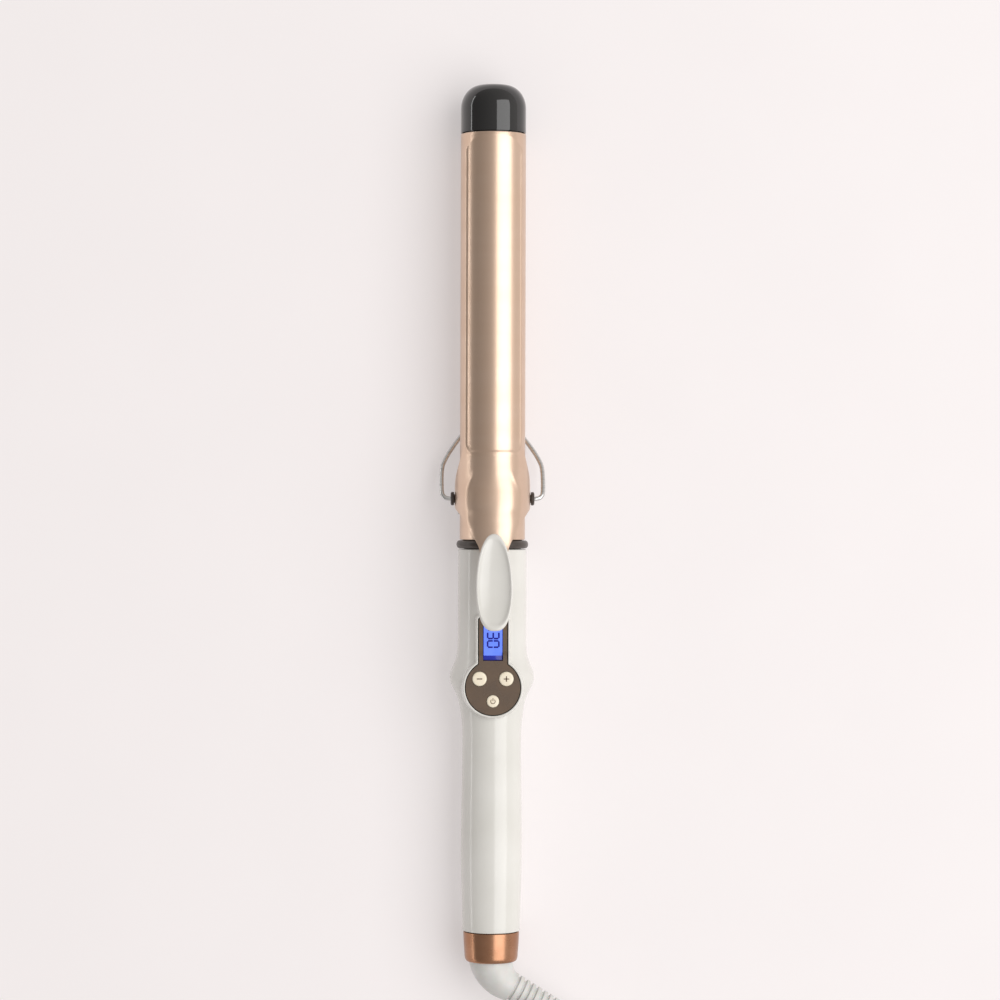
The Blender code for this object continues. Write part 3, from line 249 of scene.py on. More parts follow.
# Slot: (name, colour, second colour, roughness range, drift in mm, then what differs)
FINISHES = {
    # moulded phenolic, glazed: near black with sharp reflections and the faintest waviness
    "black_gloss": ("glazed black phenolic", "#070708", "#0B0C0C", (0.04, 0.09), 9.0,
                    dict(ior=1.6, speck=2.5, bump=0.002, coat=0.3)),
    # anodised aluminium, satin polished round the tube: warm champagne, soft wide highlight
    "champagne_metal": ("champagne anodised aluminium", "#DDC3AE", "#D9BEA8", (0.28, 0.31), 30.0,
                        dict(metallic=1.0, speck=0.3, bump=0.0001, stretch=(1, 4, 1))),
    # vacuum-plated ABS ring: rose copper, clear reflections with faint orange peel
    "copper_metal": ("rose copper plated ABS", "#B08468", "#A6795D", (0.24, 0.3), 7.0,
                     dict(metallic=1.0, speck=1.2, bump=0.002)),
    # drawn wire, chromed: bright mirror with faint draw lines
    "chrome_wire": ("chromed steel wire", "#DADAD8", "#C9C9C8", (0.06, 0.14), 5.0,
                    dict(metallic=1.0, speck=0.2, bump=0.0008, stretch=(1, 8, 1))),
    # zinc-plated screws and pins: pale grey, slightly clouded
    "screw_steel": ("zinc plated steel", "#C4C4C0", "#AEB0AE", (0.22, 0.34), 2.0,
                    dict(metallic=1.0, speck=0.3, bump=0.001)),
    # tempered leaf spring: darker grey with straw tints
    "spring_steel": ("tempered spring steel", "#8E8C86", "#7C7468", (0.28, 0.42), 3.0,
                     dict(metallic=1.0, speck=0.2, bump=0.001, stretch=(6, 1, 1))),
    # extruded aluminium: matt pale grey with die lines along the length
    "aluminium": ("extruded aluminium", "#C6C7C9", "#B4B5B8", (0.36, 0.5), 4.0,
                  dict(metallic=1.0, speck=0.4, bump=0.003, stretch=(8, 1, 8))),
    # rolled brass: warm yellow with faint tarnish clouds
    "brass": ("rolled brass", "#D6B469", "#BE9A52", (0.2, 0.34), 3.0,
              dict(metallic=1.0, speck=0.3, bump=0.001)),
    # glass-filled nylon: dark brown, a satin skin with a fine spark-eroded grain
    "brown_plastic": ("glass filled brown nylon", "#40362F", "#352C26", (0.3, 0.4), 3.0,
                      dict(ior=1.53, speck=0.3, bump=0.005)),
    # painted ABS: warm white with a clear gloss that shows long soft reflections
    "white_plastic": ("lacquered white ABS", "#DEDDD8", "#D8D7D1", (0.16, 0.22), 24.0,
                      dict(ior=1.5, speck=1.6, bump=0.0016, coat=0.35)),
    # moulded ABS panel: taupe, satin
    "taupe_plastic": ("taupe ABS panel", "#665444", "#5C4C3E", (0.22, 0.3), 5.0,
                      dict(ior=1.5, speck=0.4, bump=0.002, coat=0.15)),
    # moulded silicone-coated keys: ivory, satin
    "ivory_plastic": ("ivory moulded keys", "#F4EBD6", "#EFE4CC", (0.3, 0.4), 2.0,
                      dict(ior=1.45, speck=0.3, bump=0.002)),
    # backlit crystal display under a clear cover: bright blue that glows through
    "display": ("backlit blue display", "#5F7FF4", "#6C8AF6", (0.08, 0.12), 6.0,
                dict(ior=1.5, speck=0.8, bump=0.0005, glow=0.35)),
    # solder mask over glass-epoxy: glossy green with weave just showing
    "circuit_laminate": ("green glass-epoxy laminate", "#1E5B38", "#184E30", (0.25, 0.4), 2.0,
                         dict(ior=1.55, weave=0.5, bump=0.006)),
    # matt black epoxy and nylon
    "dark_plastic": ("black moulded epoxy", "#232325", "#1B1B1D", (0.45, 0.6), 2.0,
                     dict(ior=1.5, speck=0.2, bump=0.006)),
    # fired steatite: chalky off-white with a dry surface
    "ceramic": ("fired steatite", "#E2DBCD", "#D6CDBC", (0.6, 0.75), 3.0,
                dict(ior=1.6, speck=0.25, bump=0.01)),
    # soft moulded elastomer: pale grey, satin, with a hint of light inside
    "boot_rubber": ("pale grey elastomer", "#D6D6D3", "#CDCDC9", (0.36, 0.46), 6.0,
                    dict(ior=1.5, speck=0.35, bump=0.004, subsurface=0.1)),
    # extruded PVC jacket: pale grey, satin, with extrusion lines
    "cord_jacket": ("extruded PVC jacket", "#DADAD7", "#D0D0CC", (0.34, 0.44), 9.0,
                    dict(ior=1.53, speck=0.5, bump=0.004, subsurface=0.08)),
    # moulded PVC plug: pale grey, fine texture
    "plug_plastic": ("moulded PVC plug", "#D8D8D5", "#CFCFCB", (0.38, 0.5), 5.0,
                     dict(ior=1.53, speck=0.35, bump=0.007)),
    # woven hook-and-loop strap: charcoal, with threads and fuzz
    "tie_strap": ("woven nylon strap", "#2C2D30", "#222326", (0.7, 0.85), 2.0,
                  dict(ior=1.5, weave=0.7, bump=0.12, sheen=0.4)),
    # PVC wire insulation, red and blue
    "red_wire": ("red PVC insulation", "#A8251E", "#951D18", (0.35, 0.45), 2.5,
                 dict(ior=1.53, speck=0.3, bump=0.003)),
    "blue_wire": ("blue PVC insulation", "#24509E", "#1D448C", (0.35, 0.45), 2.5,
                  dict(ior=1.53, speck=0.3, bump=0.003)),
    # braided glass-fibre sleeve: cream threads
    "sensor_sleeve": ("braided glass-fibre sleeve", "#DDD6C6", "#C9C0AC", (0.6, 0.75), 1.0,
                      dict(ior=1.5, weave=0.4, bump=0.05)),
    # resin-dipped film capacitor: glossy blue skin
    "capacitor_film": ("blue resin dipped film", "#2E57B4", "#274BA0", (0.15, 0.28), 3.0,
                       dict(ior=1.5, speck=0.9, bump=0.01)),
    # printed marks and borders
    "brown_print": ("brown printed ink", "#6B5038", "#60462F", (0.4, 0.5), 0.8,
                    dict(ior=1.5, speck=0.15, bump=0.002)),
    "display_border": ("dark blue display border", "#1B2CA6", "#1827A0", (0.08, 0.12), 3.0,
                       dict(ior=1.5, speck=0.6, bump=0.0005, glow=0.15)),
    "display_digit": ("dark liquid crystal segments", "#0B0B92", "#0A0A86", (0.1, 0.16), 1.0,
                      dict(ior=1.5, speck=0.3, bump=0.0005)),
}
MATERIALS = {key: make_finish(*row[:5], **row[5]) for key, row in FINISHES.items()}


# ---------------------------------------------------------------- mesh tools

def raw(name, points, faces):
    """Plain mesh object with its faces turned outward."""
    mesh = bpy.data.meshes.new(name)
    mesh.from_pydata([tuple(p) for p in points], [], faces)
    bm = bmesh.new()
    bm.from_mesh(mesh)
    bmesh.ops.remove_doubles(bm, verts=bm.verts, dist=0.0000005)
    bmesh.ops.recalc_face_normals(bm, faces=bm.faces)
    bm.to_mesh(mesh)
    bm.free()
    obj = bpy.data.objects.new(name, mesh)
    bpy.context.scene.collection.objects.link(obj)
    return obj


def dress(obj, finish, body, *replaced, sharp=38):
    """Shading, finish, body and the CAD nodes that the piece stands for."""
    obj.data.shade_smooth()
    obj.data.set_sharp_from_angle(angle=math.radians(sharp))
    obj.data.materials.clear()
    obj.data.materials.append(MATERIALS[finish])
    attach(obj, body)
    if replaced:
        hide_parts(*replaced)
    return obj


def apply_modifiers(obj):
    graph = bpy.context.evaluated_depsgraph_get()
    mesh = bpy.data.meshes.new_from_object(obj.evaluated_get(graph))
    obj.modifiers.clear()
    obj.data = mesh
    return obj


def combine(obj, other, operation="DIFFERENCE"):
    """Cuts other out of obj, or joins it on, and removes other."""
    modifier = obj.modifiers.new("combine", "BOOLEAN")
    modifier.operation = operation
    modifier.solver = "EXACT"
    modifier.object = other
    apply_modifiers(obj)
    bpy.data.objects.remove(other, do_unlink=True)
    return obj


def skin(name, rings, around=True, along=False, ends=True):
    """Quads between rings of equal count. Around closes each ring, along joins the last ring to the first."""
    count = len(rings[0])
    points = [p for ring in rings for p in ring]
    faces = []
    for i in range(len(rings) if along else len(rings) - 1):
        low, high = i * count, (i + 1) % len(rings) * count
        for j in range(count if around else count - 1):
            k = (j + 1) % count
            faces.append((low + j, low + k, high + k, high + j))
    if ends and not along:
        faces.append(tuple(range(count)))
        faces.append(tuple(range((len(rings) - 1) * count, len(rings) * count)))
    return raw(name, points, faces)


def circle(centre, across, up, radius, sides):
    turns = [2 * math.pi * k / sides for k in range(sides)]
    return [centre + across * (radius * math.cos(a)) + up * (radius * math.sin(a)) for a in turns]


def turned(name, profile, centre=None, axis=(0, -1, 0), sides=128, ring=False):
    """Profile of (distance along axis, radius) in mm turned round a line through centre."""
    centre = P(0, 0, 0) if centre is None else centre
    along = Vector(axis).normalized()
    across = along.orthogonal().normalized()
    up = along.cross(across)
    rings = [circle(centre + along * d * MM, across * MM, up * MM, max(r, 0.02), sides) for d, r in profile]
    return skin(name, rings, along=ring)


def arc(radius_x, radius_y, start, end, steps):
    angles = [math.radians(mix(start, end, k / steps)) for k in range(steps + 1)]
    return [(radius_x * math.cos(a), radius_y * math.sin(a)) for a in angles]


def spline_through(points, steps):
    """Catmull-Rom curve through the points."""
    ends = [2 * points[0] - points[1], *points, 2 * points[-1] - points[-2]]
    made = []
    for a, b, c, d in zip(ends, ends[1:], ends[2:], ends[3:]):
        for k in range(steps):
            t = k / steps
            made.append(0.5 * (2 * b + (c - a) * t + (2 * a - 5 * b + 4 * c - d) * t ** 2
                               + (3 * b - a - 3 * c + d) * t ** 3))
    return [*made, points[-1]]


def tube(name, path, radii, sides=24):
    """Round tube along a path in metres, its radii in mm, without twist."""
    tangents = [(b - a).normalized() for a, b in zip([path[0], *path[:-1]], [*path[1:], path[-1]])]
    tangents[0] = (path[1] - path[0]).normalized()
    across = tangents[0].orthogonal().normalized()
    rings = []
    for point, tangent, radius in zip(path, tangents, radii):
        across = (across - tangent * across.dot(tangent)).normalized()
        rings.append(circle(point, across * MM, tangent.cross(across) * MM, radius, sides))
    return skin(name, rings)


def prism(name, outline, low, high, matrix, bevel=0.0):
    """Outline in mm in matrix's XY plane, from low to high along its Z, its top edge rounded by bevel."""
    centre = Vector((sum(x for x, y in outline) / len(outline), sum(y for x, y in outline) / len(outline), 0))
    reach = max((Vector((x, y, 0)) - centre).length for x, y in outline)
    levels = [(low, 0.0)]
    levels += [(high, 0.0)] if not bevel else [(high - bevel * (1 - s), bevel * (1 - c)) for c,
                                               s in arc(1, 1, 0, 90, 4)]
    rings = []
    for level, inset in levels:
        share = 1 - inset / reach
        rings.append([matrix @ ((centre + (Vector((x, y, 0)) - centre) * share + Vector((0, 0, level))) * MM)
                      for x, y in outline])
    return skin(name, rings)


def seen_from_above(height):
    """Outline x is X and outline y is the station."""
    return Matrix.Translation(P(0, 0, height)) @ Matrix.Diagonal((1, -1, 1, 1))


# ---------------------------------------------------------------- cord, first of all

HANK_X, HANK_START, HANK_RUN = 22.9, TOTAL + 56.5, 100.0
LOW_LAYER, HIGH_LAYER, TOP_LAYER = 2.9, 8.7, 14.6
BOOT_TURN = math.radians(62)
BOOT_BEND, BOOT_BEND_AT, BOOT_STRAIGHT = 13.2, TOTAL - 1.9, 25.0


def boot_path():
    """Centre line of the elbow and its strain relief."""
    points = [P(0, u, 0) for u in (TOTAL - 3.3, TOTAL - 2.6)]
    for k in range(25):
        a = BOOT_TURN * k / 24
        points.append(P(BOOT_BEND * (1 - math.cos(a)), BOOT_BEND_AT + BOOT_BEND * math.sin(a), 0))
    heading = Vector((math.sin(BOOT_TURN), -math.cos(BOOT_TURN), 0)) * MM
    root = points[-1]
    points += [root + heading * (BOOT_STRAIGHT * k / 80) for k in range(1, 81)]
    return points, heading


def hank_turns():
    """Points of the folded lead: down the right, round the bottom, up the left and round the top."""
    points = []
    rounds = [(29.5, 23.5, LOW_LAYER, LOW_LAYER), (23.5, 17.5, LOW_LAYER, LOW_LAYER),
              (17.5, 17.5, LOW_LAYER, HIGH_LAYER), (17.5, 23.5, HIGH_LAYER, HIGH_LAYER)]
    end = HANK_START + HANK_RUN
    for radius, following, low, high in rounds:
        points += [(HANK_X + radius, mix(HANK_START, end, t), low) for t in (0.0, 0.25, 0.5, 0.75)]
        points += [(HANK_X + x, end + y, low) for x, y in arc(radius, radius, 0, 180, 10)]
        points += [(HANK_X - radius, mix(end, HANK_START, t), low) for t in (0.25, 0.5, 0.75)]
        for k in range(10):
            turn = math.radians(180 + 18 * k)
            r = mix(radius, following, ease(k / 10))
            points.append((HANK_X + r * math.cos(turn), HANK_START + r * math.sin(turn),
                           mix(low, high, ease(k / 10))))
    radius = 23.5
    points += [(HANK_X + radius, mix(HANK_START, end, t), HIGH_LAYER) for t in (0.0, 0.25, 0.5, 0.75)]
    points += [(HANK_X + x, end + y, HIGH_LAYER) for x, y in arc(radius, radius, 0, 180, 10)]
    points += [(HANK_X - 23.5, end - 22, HIGH_LAYER), (HANK_X - 23.3, end - 40, 9.6),
               (HANK_X - 22.6, end - 60, 12.6),
               (HANK_X - 21.6, end - 78, TOP_LAYER)]
    return [table_point(*p) for p in points]


def make_cord():
    boot, heading = boot_path()
    start = boot[-1]
    lead = [start + heading * 0.3, start + heading * 6, start + heading * 12]
    lead += [table_point(*p) for p in ((45.2, TOTAL + 32.7, 9.0), (49.8, TOTAL + 39.5, 5.2), (52.4,
                                                                                              TOTAL + 47.5,
                                                                                              3.3))]
    left, right = HANK_X - 21.0, HANK_X + 20.5
    tail = [(left, 3, 0), (left + 2, -8, 0), (left + 9, -17.5, 0), (HANK_X, -21.5, 0), (right - 9, -17.5, 0),
            (right - 2, -8, 0), (right, 3, 0), (right, 12, 0), (right, 20, 0.6)]
    tail = [table_point(x, HANK_START + u, TOP_LAYER + lift) for x, u, lift in tail]
    path = spline_through([*lead, *hank_turns(), *tail], 4)
    cord = dress(tube("mains_cord", path, [CORD_R] * len(path), 18), "cord_jacket", "cord_swivel",
                 "cord_lead", "cord_hank", "cord_tail")
    length = sum((b - a).length for a, b in zip(path, path[1:]))
    return cord, path, length


def make_tie():
    """Woven strap pulled round the hank."""
    pads = [(HANK_X + s * r, z) for s in (-1, 1) for r, z in
            ((29.5, LOW_LAYER), (17.5, LOW_LAYER), (23.5, HIGH_LAYER), (17.5, HIGH_LAYER))]
    cloud = sorted((x + (CORD_R + 0.5) * c, z + (CORD_R + 0.5) * s) for x, z in pads for c,
                   s in arc(1, 1, 0, 350, 35))

    def chain(points):
        kept = []
        for p in points:
            while len(kept) > 1 and ((kept[-1][0] - kept[-2][0]) * (p[1] - kept[-2][1])
                                     - (kept[-1][1] - kept[-2][1]) * (p[0] - kept[-2][0])) <= 0:
                kept.pop()
            kept.append(p)
        return kept[:-1]

    hull = [(x, max(z, 0.45)) for x, z in chain(cloud) + chain(cloud[::-1])]
    middle = Vector((HANK_X, 5.8, 0))
    low, high, half = HANK_START + 77, HANK_START + 87, 0.35
    rings = []
    for x, z in hull:
        out = (Vector((x, z, 0)) - middle).normalized() * half
        out.y = max(out.y, 0.4 - z) if z < 0.5 else out.y
        section = [(low, 1), (low + 0.3, 1.25), (high - 0.3, 1.25), (high, 1), (high, -1), (low, -1)]
        rings.append([table_point(x + out.x * s, u, z + out.y * s) for u, s in section])
    return dress(skin("cord_strap", rings, along=True), "tie_strap", "cord_swivel", "cord_tie", sharp=50)


def rounded_box(half_width, half_height, radius, steps=5):
    outline = []
    for cx, cy, start in ((1, 1, 0), (-1, 1, 90), (-1, -1, 180), (1, -1, 270)):
        outline += [(cx * (half_width - radius) + x, cy * (half_height - radius) + y)
                    for x, y in arc(radius, radius, start, start + 90, steps)]
    return outline


def make_plug():
    """Two-blade plug: tapered ribbed relief, then a body that swells to its grip and face."""
    relief_low, relief_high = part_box("plug_strain_relief")
    body_low, body_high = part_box("plug_body")
    x = (body_low[X] + body_high[X]) / 2
    z = (body_low[Z] + body_high[Z]) / 2
    axis_z = (relief_low[Z] + relief_high[Z]) / 2
    path, radii = [], []
    for k in range(61):
        t = k / 60
        path.append(Vector((x, mix(relief_high[Y], relief_low[Y], t), axis_z)))
        radii.append(mix(2.95, 3.4, t) - (0.28 if k % 10 in (6, 7, 8) and t < 0.9 else 0.0))
    relief = dress(tube("plug_relief", path, radii, 24), "plug_plastic", "cord_swivel", "plug_strain_relief")
    rings = []
    sections = [(0.0, 4.4, 3.3, 2.2), (0.03, 5.2, 4.0, 2.6), (0.12, 6.0, 4.35, 2.8), (0.25, 8.0, 4.45, 3.0),
                (0.34, 8.4, 4.45, 3.0), (0.40, 8.0, 4.2, 3.0), (0.55, 7.8, 4.1, 3.0), (0.70, 8.0, 4.2, 3.0),
                (0.76, 8.45, 4.45, 3.0), (0.95, 8.45, 4.45, 3.0), (0.985, 8.2, 4.2, 2.8),
                (1.0, 7.7, 3.8, 2.6)]
    for t, half_width, half_height, radius in sections:
        y = mix(body_high[Y], body_low[Y], t)
        rings.append([Vector((x + a * MM, y, z + b * MM)) for a,
                      b in rounded_box(half_width, half_height, radius)])
    body = skin("plug_grip", rings)
    for side in (-1, 1):
        for k in range(4):
            y = mix(body_high[Y], body_low[Y], 0.42 + 0.09 * k)
            groove = [Vector((x + side * (8.3 + a) * MM, y + b * MM, z)) for a,
                      b in arc(0.75, 0.45, 0, 330, 11)]
            rings = [[p + Vector((0, 0, h * MM)) for p in groove] for h in (-6, 6)]
            combine(body, skin("groove", rings))
    dress(body, "plug_plastic", "cord_swivel", "plug_body")
    blades = []
    for side in ("left", "right"):
        low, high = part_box("plug_blade_" + side)
        middle = (Vector(low) + Vector(high)) / 2
        half = [(high[i] - low[i]) / 2 / MM for i in (Y, Z)]
        outline = [(half[0] - 0.2, -half[1]), (half[0] - 0.2, half[1])]
        outline += [(-half[0] + 1.6 - s, half[1] - 1.6 * (1 - c)) for c, s in arc(1, 1.6, 0, 90, 5)]
        outline += [(-half[0] + 1.6 - s, -half[1] + 1.6 * (1 - c)) for c,
                    s in reversed(arc(1, 1.6, 0, 90, 5))]
        turn = Matrix.Translation(middle) @ Matrix(((0, 0, 1, 0), (1, 0, 0, 0), (0, 1, 0, 0), (0, 0, 0, 1)))
        blade = prism("plug_pin_" + side, outline, -0.74, 0.74, turn)
        hole = turned("pin_hole", [(-2, 1.5), (2, 1.5)], middle + Vector((0, -4.6 * MM, 0)), (1, 0, 0), 24)
        blades.append(dress(combine(blade, hole), "brass", "cord_swivel", "plug_blade_" + side))
    return [relief, body, *blades]


def make_boot():
    """Elbow that turns in the end cap, then a tapered sleeve with ribs."""
    points, heading = boot_path()
    count = len(points) - 80
    radii = []
    for k in range(len(points)):
        if k < count:
            t = max(0, k - 2) / (count - 3)
            radii.append(mix(8.8, 5.85, t ** 1.2))
        else:
            t = (k - count + 1) / 80
            along = t * BOOT_STRAIGHT
            groove = 1.5 < along < 22.5 and (along - 1.5) % 2.6 < 1.0
            radii.append(mix(5.85, 4.0, t) - (0.95 if groove else 0.0))
    radii[-1] -= 0.5
    return dress(tube("cord_boot", points, radii, 48), "boot_rubber", "cord_swivel", "strain_relief",
                 sharp=30)


add_camera()
add_studio()
cord, cord_path, cord_length = make_cord()
strap = make_tie()
plug = make_plug()
boot = make_boot()


# ---------------------------------------------------------------- barrel

def make_barrel():
    dome = [(9.0 * (1 - s), 5.0 + 7.5 * c) for c, s in reversed(arc(1, 1, 0, 90, 28))]
    end = TUBE_START - 0.3
    cap = [(0.0, 0.02), (0.0, 2.5), *dome, *[(mix(9.5, end - 0.3, k / 6), BARREL_R) for k in range(7)],
           (end - 0.1, BARREL_R - 0.08), (end, BARREL_R - 0.35), (end, 11.3), (end + 8, 11.3),
           (end + 8, 0.02)]
    dress(turned("barrel_tip_dome", cap), "black_gloss", "wand", "barrel_tip_cap")
    low, high, inner = TUBE_START, TUBE_END, BARREL_R - 0.8
    outside = [(low, BARREL_R - 0.3), (low + 0.08, BARREL_R - 0.09), (low + 0.3, BARREL_R)]
    outside += [(mix(low + 4, high - 4, k / 40), BARREL_R) for k in range(41)]
    outside += [(high - 0.3, BARREL_R), (high - 0.08, BARREL_R - 0.09), (high, BARREL_R - 0.3)]
    dress(turned("barrel_sleeve", [*outside, (high, inner), (low, inner)], sides=160, ring=True),
          "champagne_metal", "wand", "barrel_tube")


def make_collar():
    """Heat guard: a rounded ring with a fine shoulder on each side."""
    low, high = TUBE_END + 0.3, HANDLE_AT - 0.3
    half, middle, lip = (high - low) / 2, (low + high) / 2, BARREL_R + 1.25
    outside = [(middle - half * s, lip - 1.1 * (1 - c)) for c, s in reversed(arc(1, 1, -90, 90, 24))]
    profile = [(low, 11.6), (low, lip - 1.35), *outside, (high, lip - 1.35), (high, 11.0)]
    inner = [(high + 8, 10.85), (high + 8, 6.2), (low - 8, 6.2), (low - 8, 11.3), (low - 0.2, 11.3)]
    dress(turned("heat_guard_ring", profile + inner, ring=True), "brown_plastic", "wand", "barrel_collar")


make_barrel()
make_collar()


# ---------------------------------------------------------------- clip, lever and pivot

LEVER_SLOPE = math.radians(16.2)
LEVER_FROM_PIVOT = 13.7
LEVER_UNDERSIDE = BARREL_R + 8.5
LEVER_LENGTH, LEVER_HALF_WIDTH = 37.6, 6.9
CLIP_HALF_ANGLE = 54.0
LEDGE_AT = -17.4           # from the pivot


def clip_rows():
    """Rows of (distance from pivot, top, half width, rise radius, half angle, squareness) down the sheet."""
    tip = CLIP_START - PIVOT_AT
    straight = math.radians(CLIP_HALF_ANGLE)
    corner = 7.8
    rows = []
    for c, s in arc(1, 1, 0, 90, 14):
        half = SHEET_R * math.sin(straight) - corner * (1 - s)
        rows.append((tip + corner * (1 - c), SHEET_R, SHEET_R, SHEET_R,
                     math.degrees(math.asin(half / SHEET_R)), 2.0))
    rows += [(mix(tip + corner, -24, k / 30), SHEET_R, SHEET_R, SHEET_R, CLIP_HALF_ANGLE, 2.0)
             for k in range(1, 31)]
    lift, rise = LEVER_UNDERSIDE - 0.3 - SHEET / 2, math.tan(LEVER_SLOPE)
    keys = [
        (-24.0, SHEET_R, SHEET_R, SHEET_R, CLIP_HALF_ANGLE, 2.0),
        (-20.5, SHEET_R, SHEET_R, SHEET_R, CLIP_HALF_ANGLE + 2, 2.0),
        (-17.2, SHEET_R + 0.3, SHEET_R + 0.1, SHEET_R + 0.3, 61.0, 2.0),
        (-13.0, SHEET_R + 1.0, SHEET_R + 0.25, SHEET_R + 1.0, 70.0, 2.05),
        (-9.0, SHEET_R + 1.75, EAR_X - 0.25, SHEET_R + 1.75, 80.0, 2.1),
        (-6.5, SHEET_R + 2.25, EAR_X - 0.1, SHEET_R + 2.25, 89.0, 2.2),
        (-4.2, SHEET_R + 2.75, EAR_X, SHEET_R + 2.75, 99.0, 2.3),
        (0.0, SHEET_R + 3.7, EAR_X, SHEET_R + 3.7, 107.0, 2.4),
        (2.0, SHEET_R + 4.15, EAR_X, SHEET_R + 4.15, 102.0, 2.4),
        (3.4, SHEET_R + 4.5, EAR_X, SHEET_R + 4.5, 86.0, 2.35),
        (4.8, SHEET_R + 4.85, EAR_X - 0.1, SHEET_R + 4.85, 70.0, 2.3),
        (7.0, SHEET_R + 5.4, EAR_X - 0.9, SHEET_R + 1.3, 61.0, 2.25),
        (9.8, SHEET_R + 6.05, EAR_X - 2.2, SHEET_R - 2.7, 56.0, 2.2),
        (LEVER_FROM_PIVOT, lift, EAR_X - 4.6, 6.0, 55.0, 2.1),
        (18.5, lift + 4.8 * rise, 6.8, 2.2, 55.0, 2.0),
        (23.2, lift + 9.5 * rise, 6.9, 0.35, 45.0, 2.0),
        (32.2, lift + 18.5 * rise, 6.2, 0.2, 40.0, 2.0),
    ]
    for a, b, c, d in zip([keys[0], *keys], keys, keys[1:], [*keys[2:], keys[-1]]):
        steps = max(2, round((c[0] - b[0]) / 0.45))
        for k in range(1, steps + 1):
            t = k / steps
            row = []
            for p, q, r, s in zip(a, b, c, d):
                curve = 0.5 * (2 * q + (r - p) * t + (2 * p - 5 * q + 4 * r - s) * t ** 2
                               + (3 * q - p - 3 * r + s) * t ** 3)
                row.append(mix(mix(q, r, t), curve, 0.7))
            rows.append(tuple(row))
    return rows


def emboss(along, across):
    """Height of the pressed bead that frames the clip's long field, its lower side running along the ledge."""
    half, corner = 11.7, 3.6
    dx = max(0.0, abs(across) - (half - corner))
    dy = max(0.0, along - (LEDGE_AT - corner))
    inside = max(abs(across) - half, along - LEDGE_AT)
    distance = math.hypot(dx, dy) - corner if dx > 0 and dy > 0 else inside
    bead = 0.3 * math.exp(-(distance / 0.55) ** 2)
    return bead


def crease(along, across):
    """Folded line on each side of the dome, between its crown and its ears."""
    if not -12 < along < 13:
        return 0.0
    line = 7.0 + 3.2 * math.sin(math.radians(90) * ease((along + 11) / 12)) - 0.8 * ease((along - 2) / 10)
    fade = ease((along + 12) / 5) * (1 - ease((along - 7) / 5))
    return 0.18 * fade * math.exp(-((abs(across) - line) / 0.9) ** 2)


def make_clip():
    columns = 72
    rings = []
    for along, top, half_width, rise, half_angle, square in clip_rows():
        ring = []
        for k in range(columns + 1):
            t = 2 * k / columns - 1
            a = math.radians(half_angle) * t
            s, c = math.sin(a), math.cos(a)
            x = half_width * math.copysign(abs(s) ** (2 / square), s)
            z = top - rise * (1 - math.copysign(abs(c) ** (2 / square), c))
            lift = emboss(along, SHEET_R * a) if along < 0 else 0.0
            lift += crease(along, x) if z > BARREL_R / 2 else 0.0
            out = Vector((x, 0, z)).normalized() * lift
            ring.append(P(x + out.x, PIVOT_AT + along, z + out.z))
        rings.append(ring)
    clip = skin("clip_sheet", rings, around=False, ends=False)
    thick = clip.modifiers.new("sheet", "SOLIDIFY")
    thick.thickness = SHEET * MM
    thick.offset = 0
    thick.use_even_offset = True
    edge = clip.modifiers.new("edge", "BEVEL")
    edge.width = 0.24 * MM
    edge.segments = 3
    edge.limit_method = "ANGLE"
    edge.angle_limit = math.radians(55)
    apply_modifiers(clip)
    combine(clip, turned("ear_holes", [(-20, BUSH_R + 0.35), (20, BUSH_R + 0.35)], P(0, PIVOT_AT, 0), (1, 0,
                                                                                                       0),
                         48))
    dress(clip, "champagne_metal", "clip", "clip_plate")


def egg_point(turn):
    """Point of the lever's outline, as a share of its half width and of its length."""
    wide = 0.58
    s, c = math.sin(turn), math.cos(turn)
    if c > 0:
        y = wide - wide * c
        x = math.copysign(abs(s) ** 0.92, s)
    else:
        y = wide - (1 - wide) * c
        x = math.copysign(abs(s) ** 0.74, s)
    return x, y


def make_lever():
    along = Vector((0, -math.cos(LEVER_SLOPE), math.sin(LEVER_SLOPE)))
    out = Vector((0, math.sin(LEVER_SLOPE), math.cos(LEVER_SLOPE)))
    origin = P(0, PIVOT_AT + LEVER_FROM_PIVOT, LEVER_UNDERSIDE)
    heights = [(0.04, 0.0), (0.5, 0.0), (0.86, 0.0), (0.93, 0.12), (0.975, 0.5), (0.995, 1.0), (1.0, 1.5),
               (0.995, 2.0),
               (0.98, 2.35), (0.955, 2.55), (0.93, 2.6), (0.905, 2.54), (0.88, 2.38), (0.85, 2.1),
               (0.78, 1.8),
               (0.66, 1.5), (0.5, 1.28), (0.34, 1.15), (0.18, 1.09), (0.04, 1.07)]
    rings = []
    for share, height in heights:
        ring = []
        for k in range(96):
            x, y = egg_point(2 * math.pi * k / 96)
            y = mix(0.55, y, share)
            ring.append(origin + (Vector((1, 0, 0)) * (x * share * LEVER_HALF_WIDTH)
                                  + along * (y * LEVER_LENGTH) + out * height) * MM)
        rings.append(ring)
    dress(skin("thumb_rest", rings), "white_plastic", "clip", "thumb_lever", sharp=60)


def make_pivot():
    """Bush on each side: a flanged washer."""
    for name, side in (("left", -1), ("right", 1)):
        centre = P(side * BUSH_OUTER, PIVOT_AT, 0)
        bore, flange = WIRE_R + 0.17, BUSH_FLANGE_R
        washer = [(0.0, bore), (0.0, flange - 0.6), (0.12, flange - 0.25), (0.4, flange), (1.05, flange),
                  (1.3, flange - 0.2), (1.3, BUSH_R), (3.2, BUSH_R), (3.2, bore)]
        dress(turned("pivot_washer_" + name, washer, centre, (-side, 0, 0), 64, ring=True), "brown_plastic",
              "wand",
              "pivot_bush_" + name)


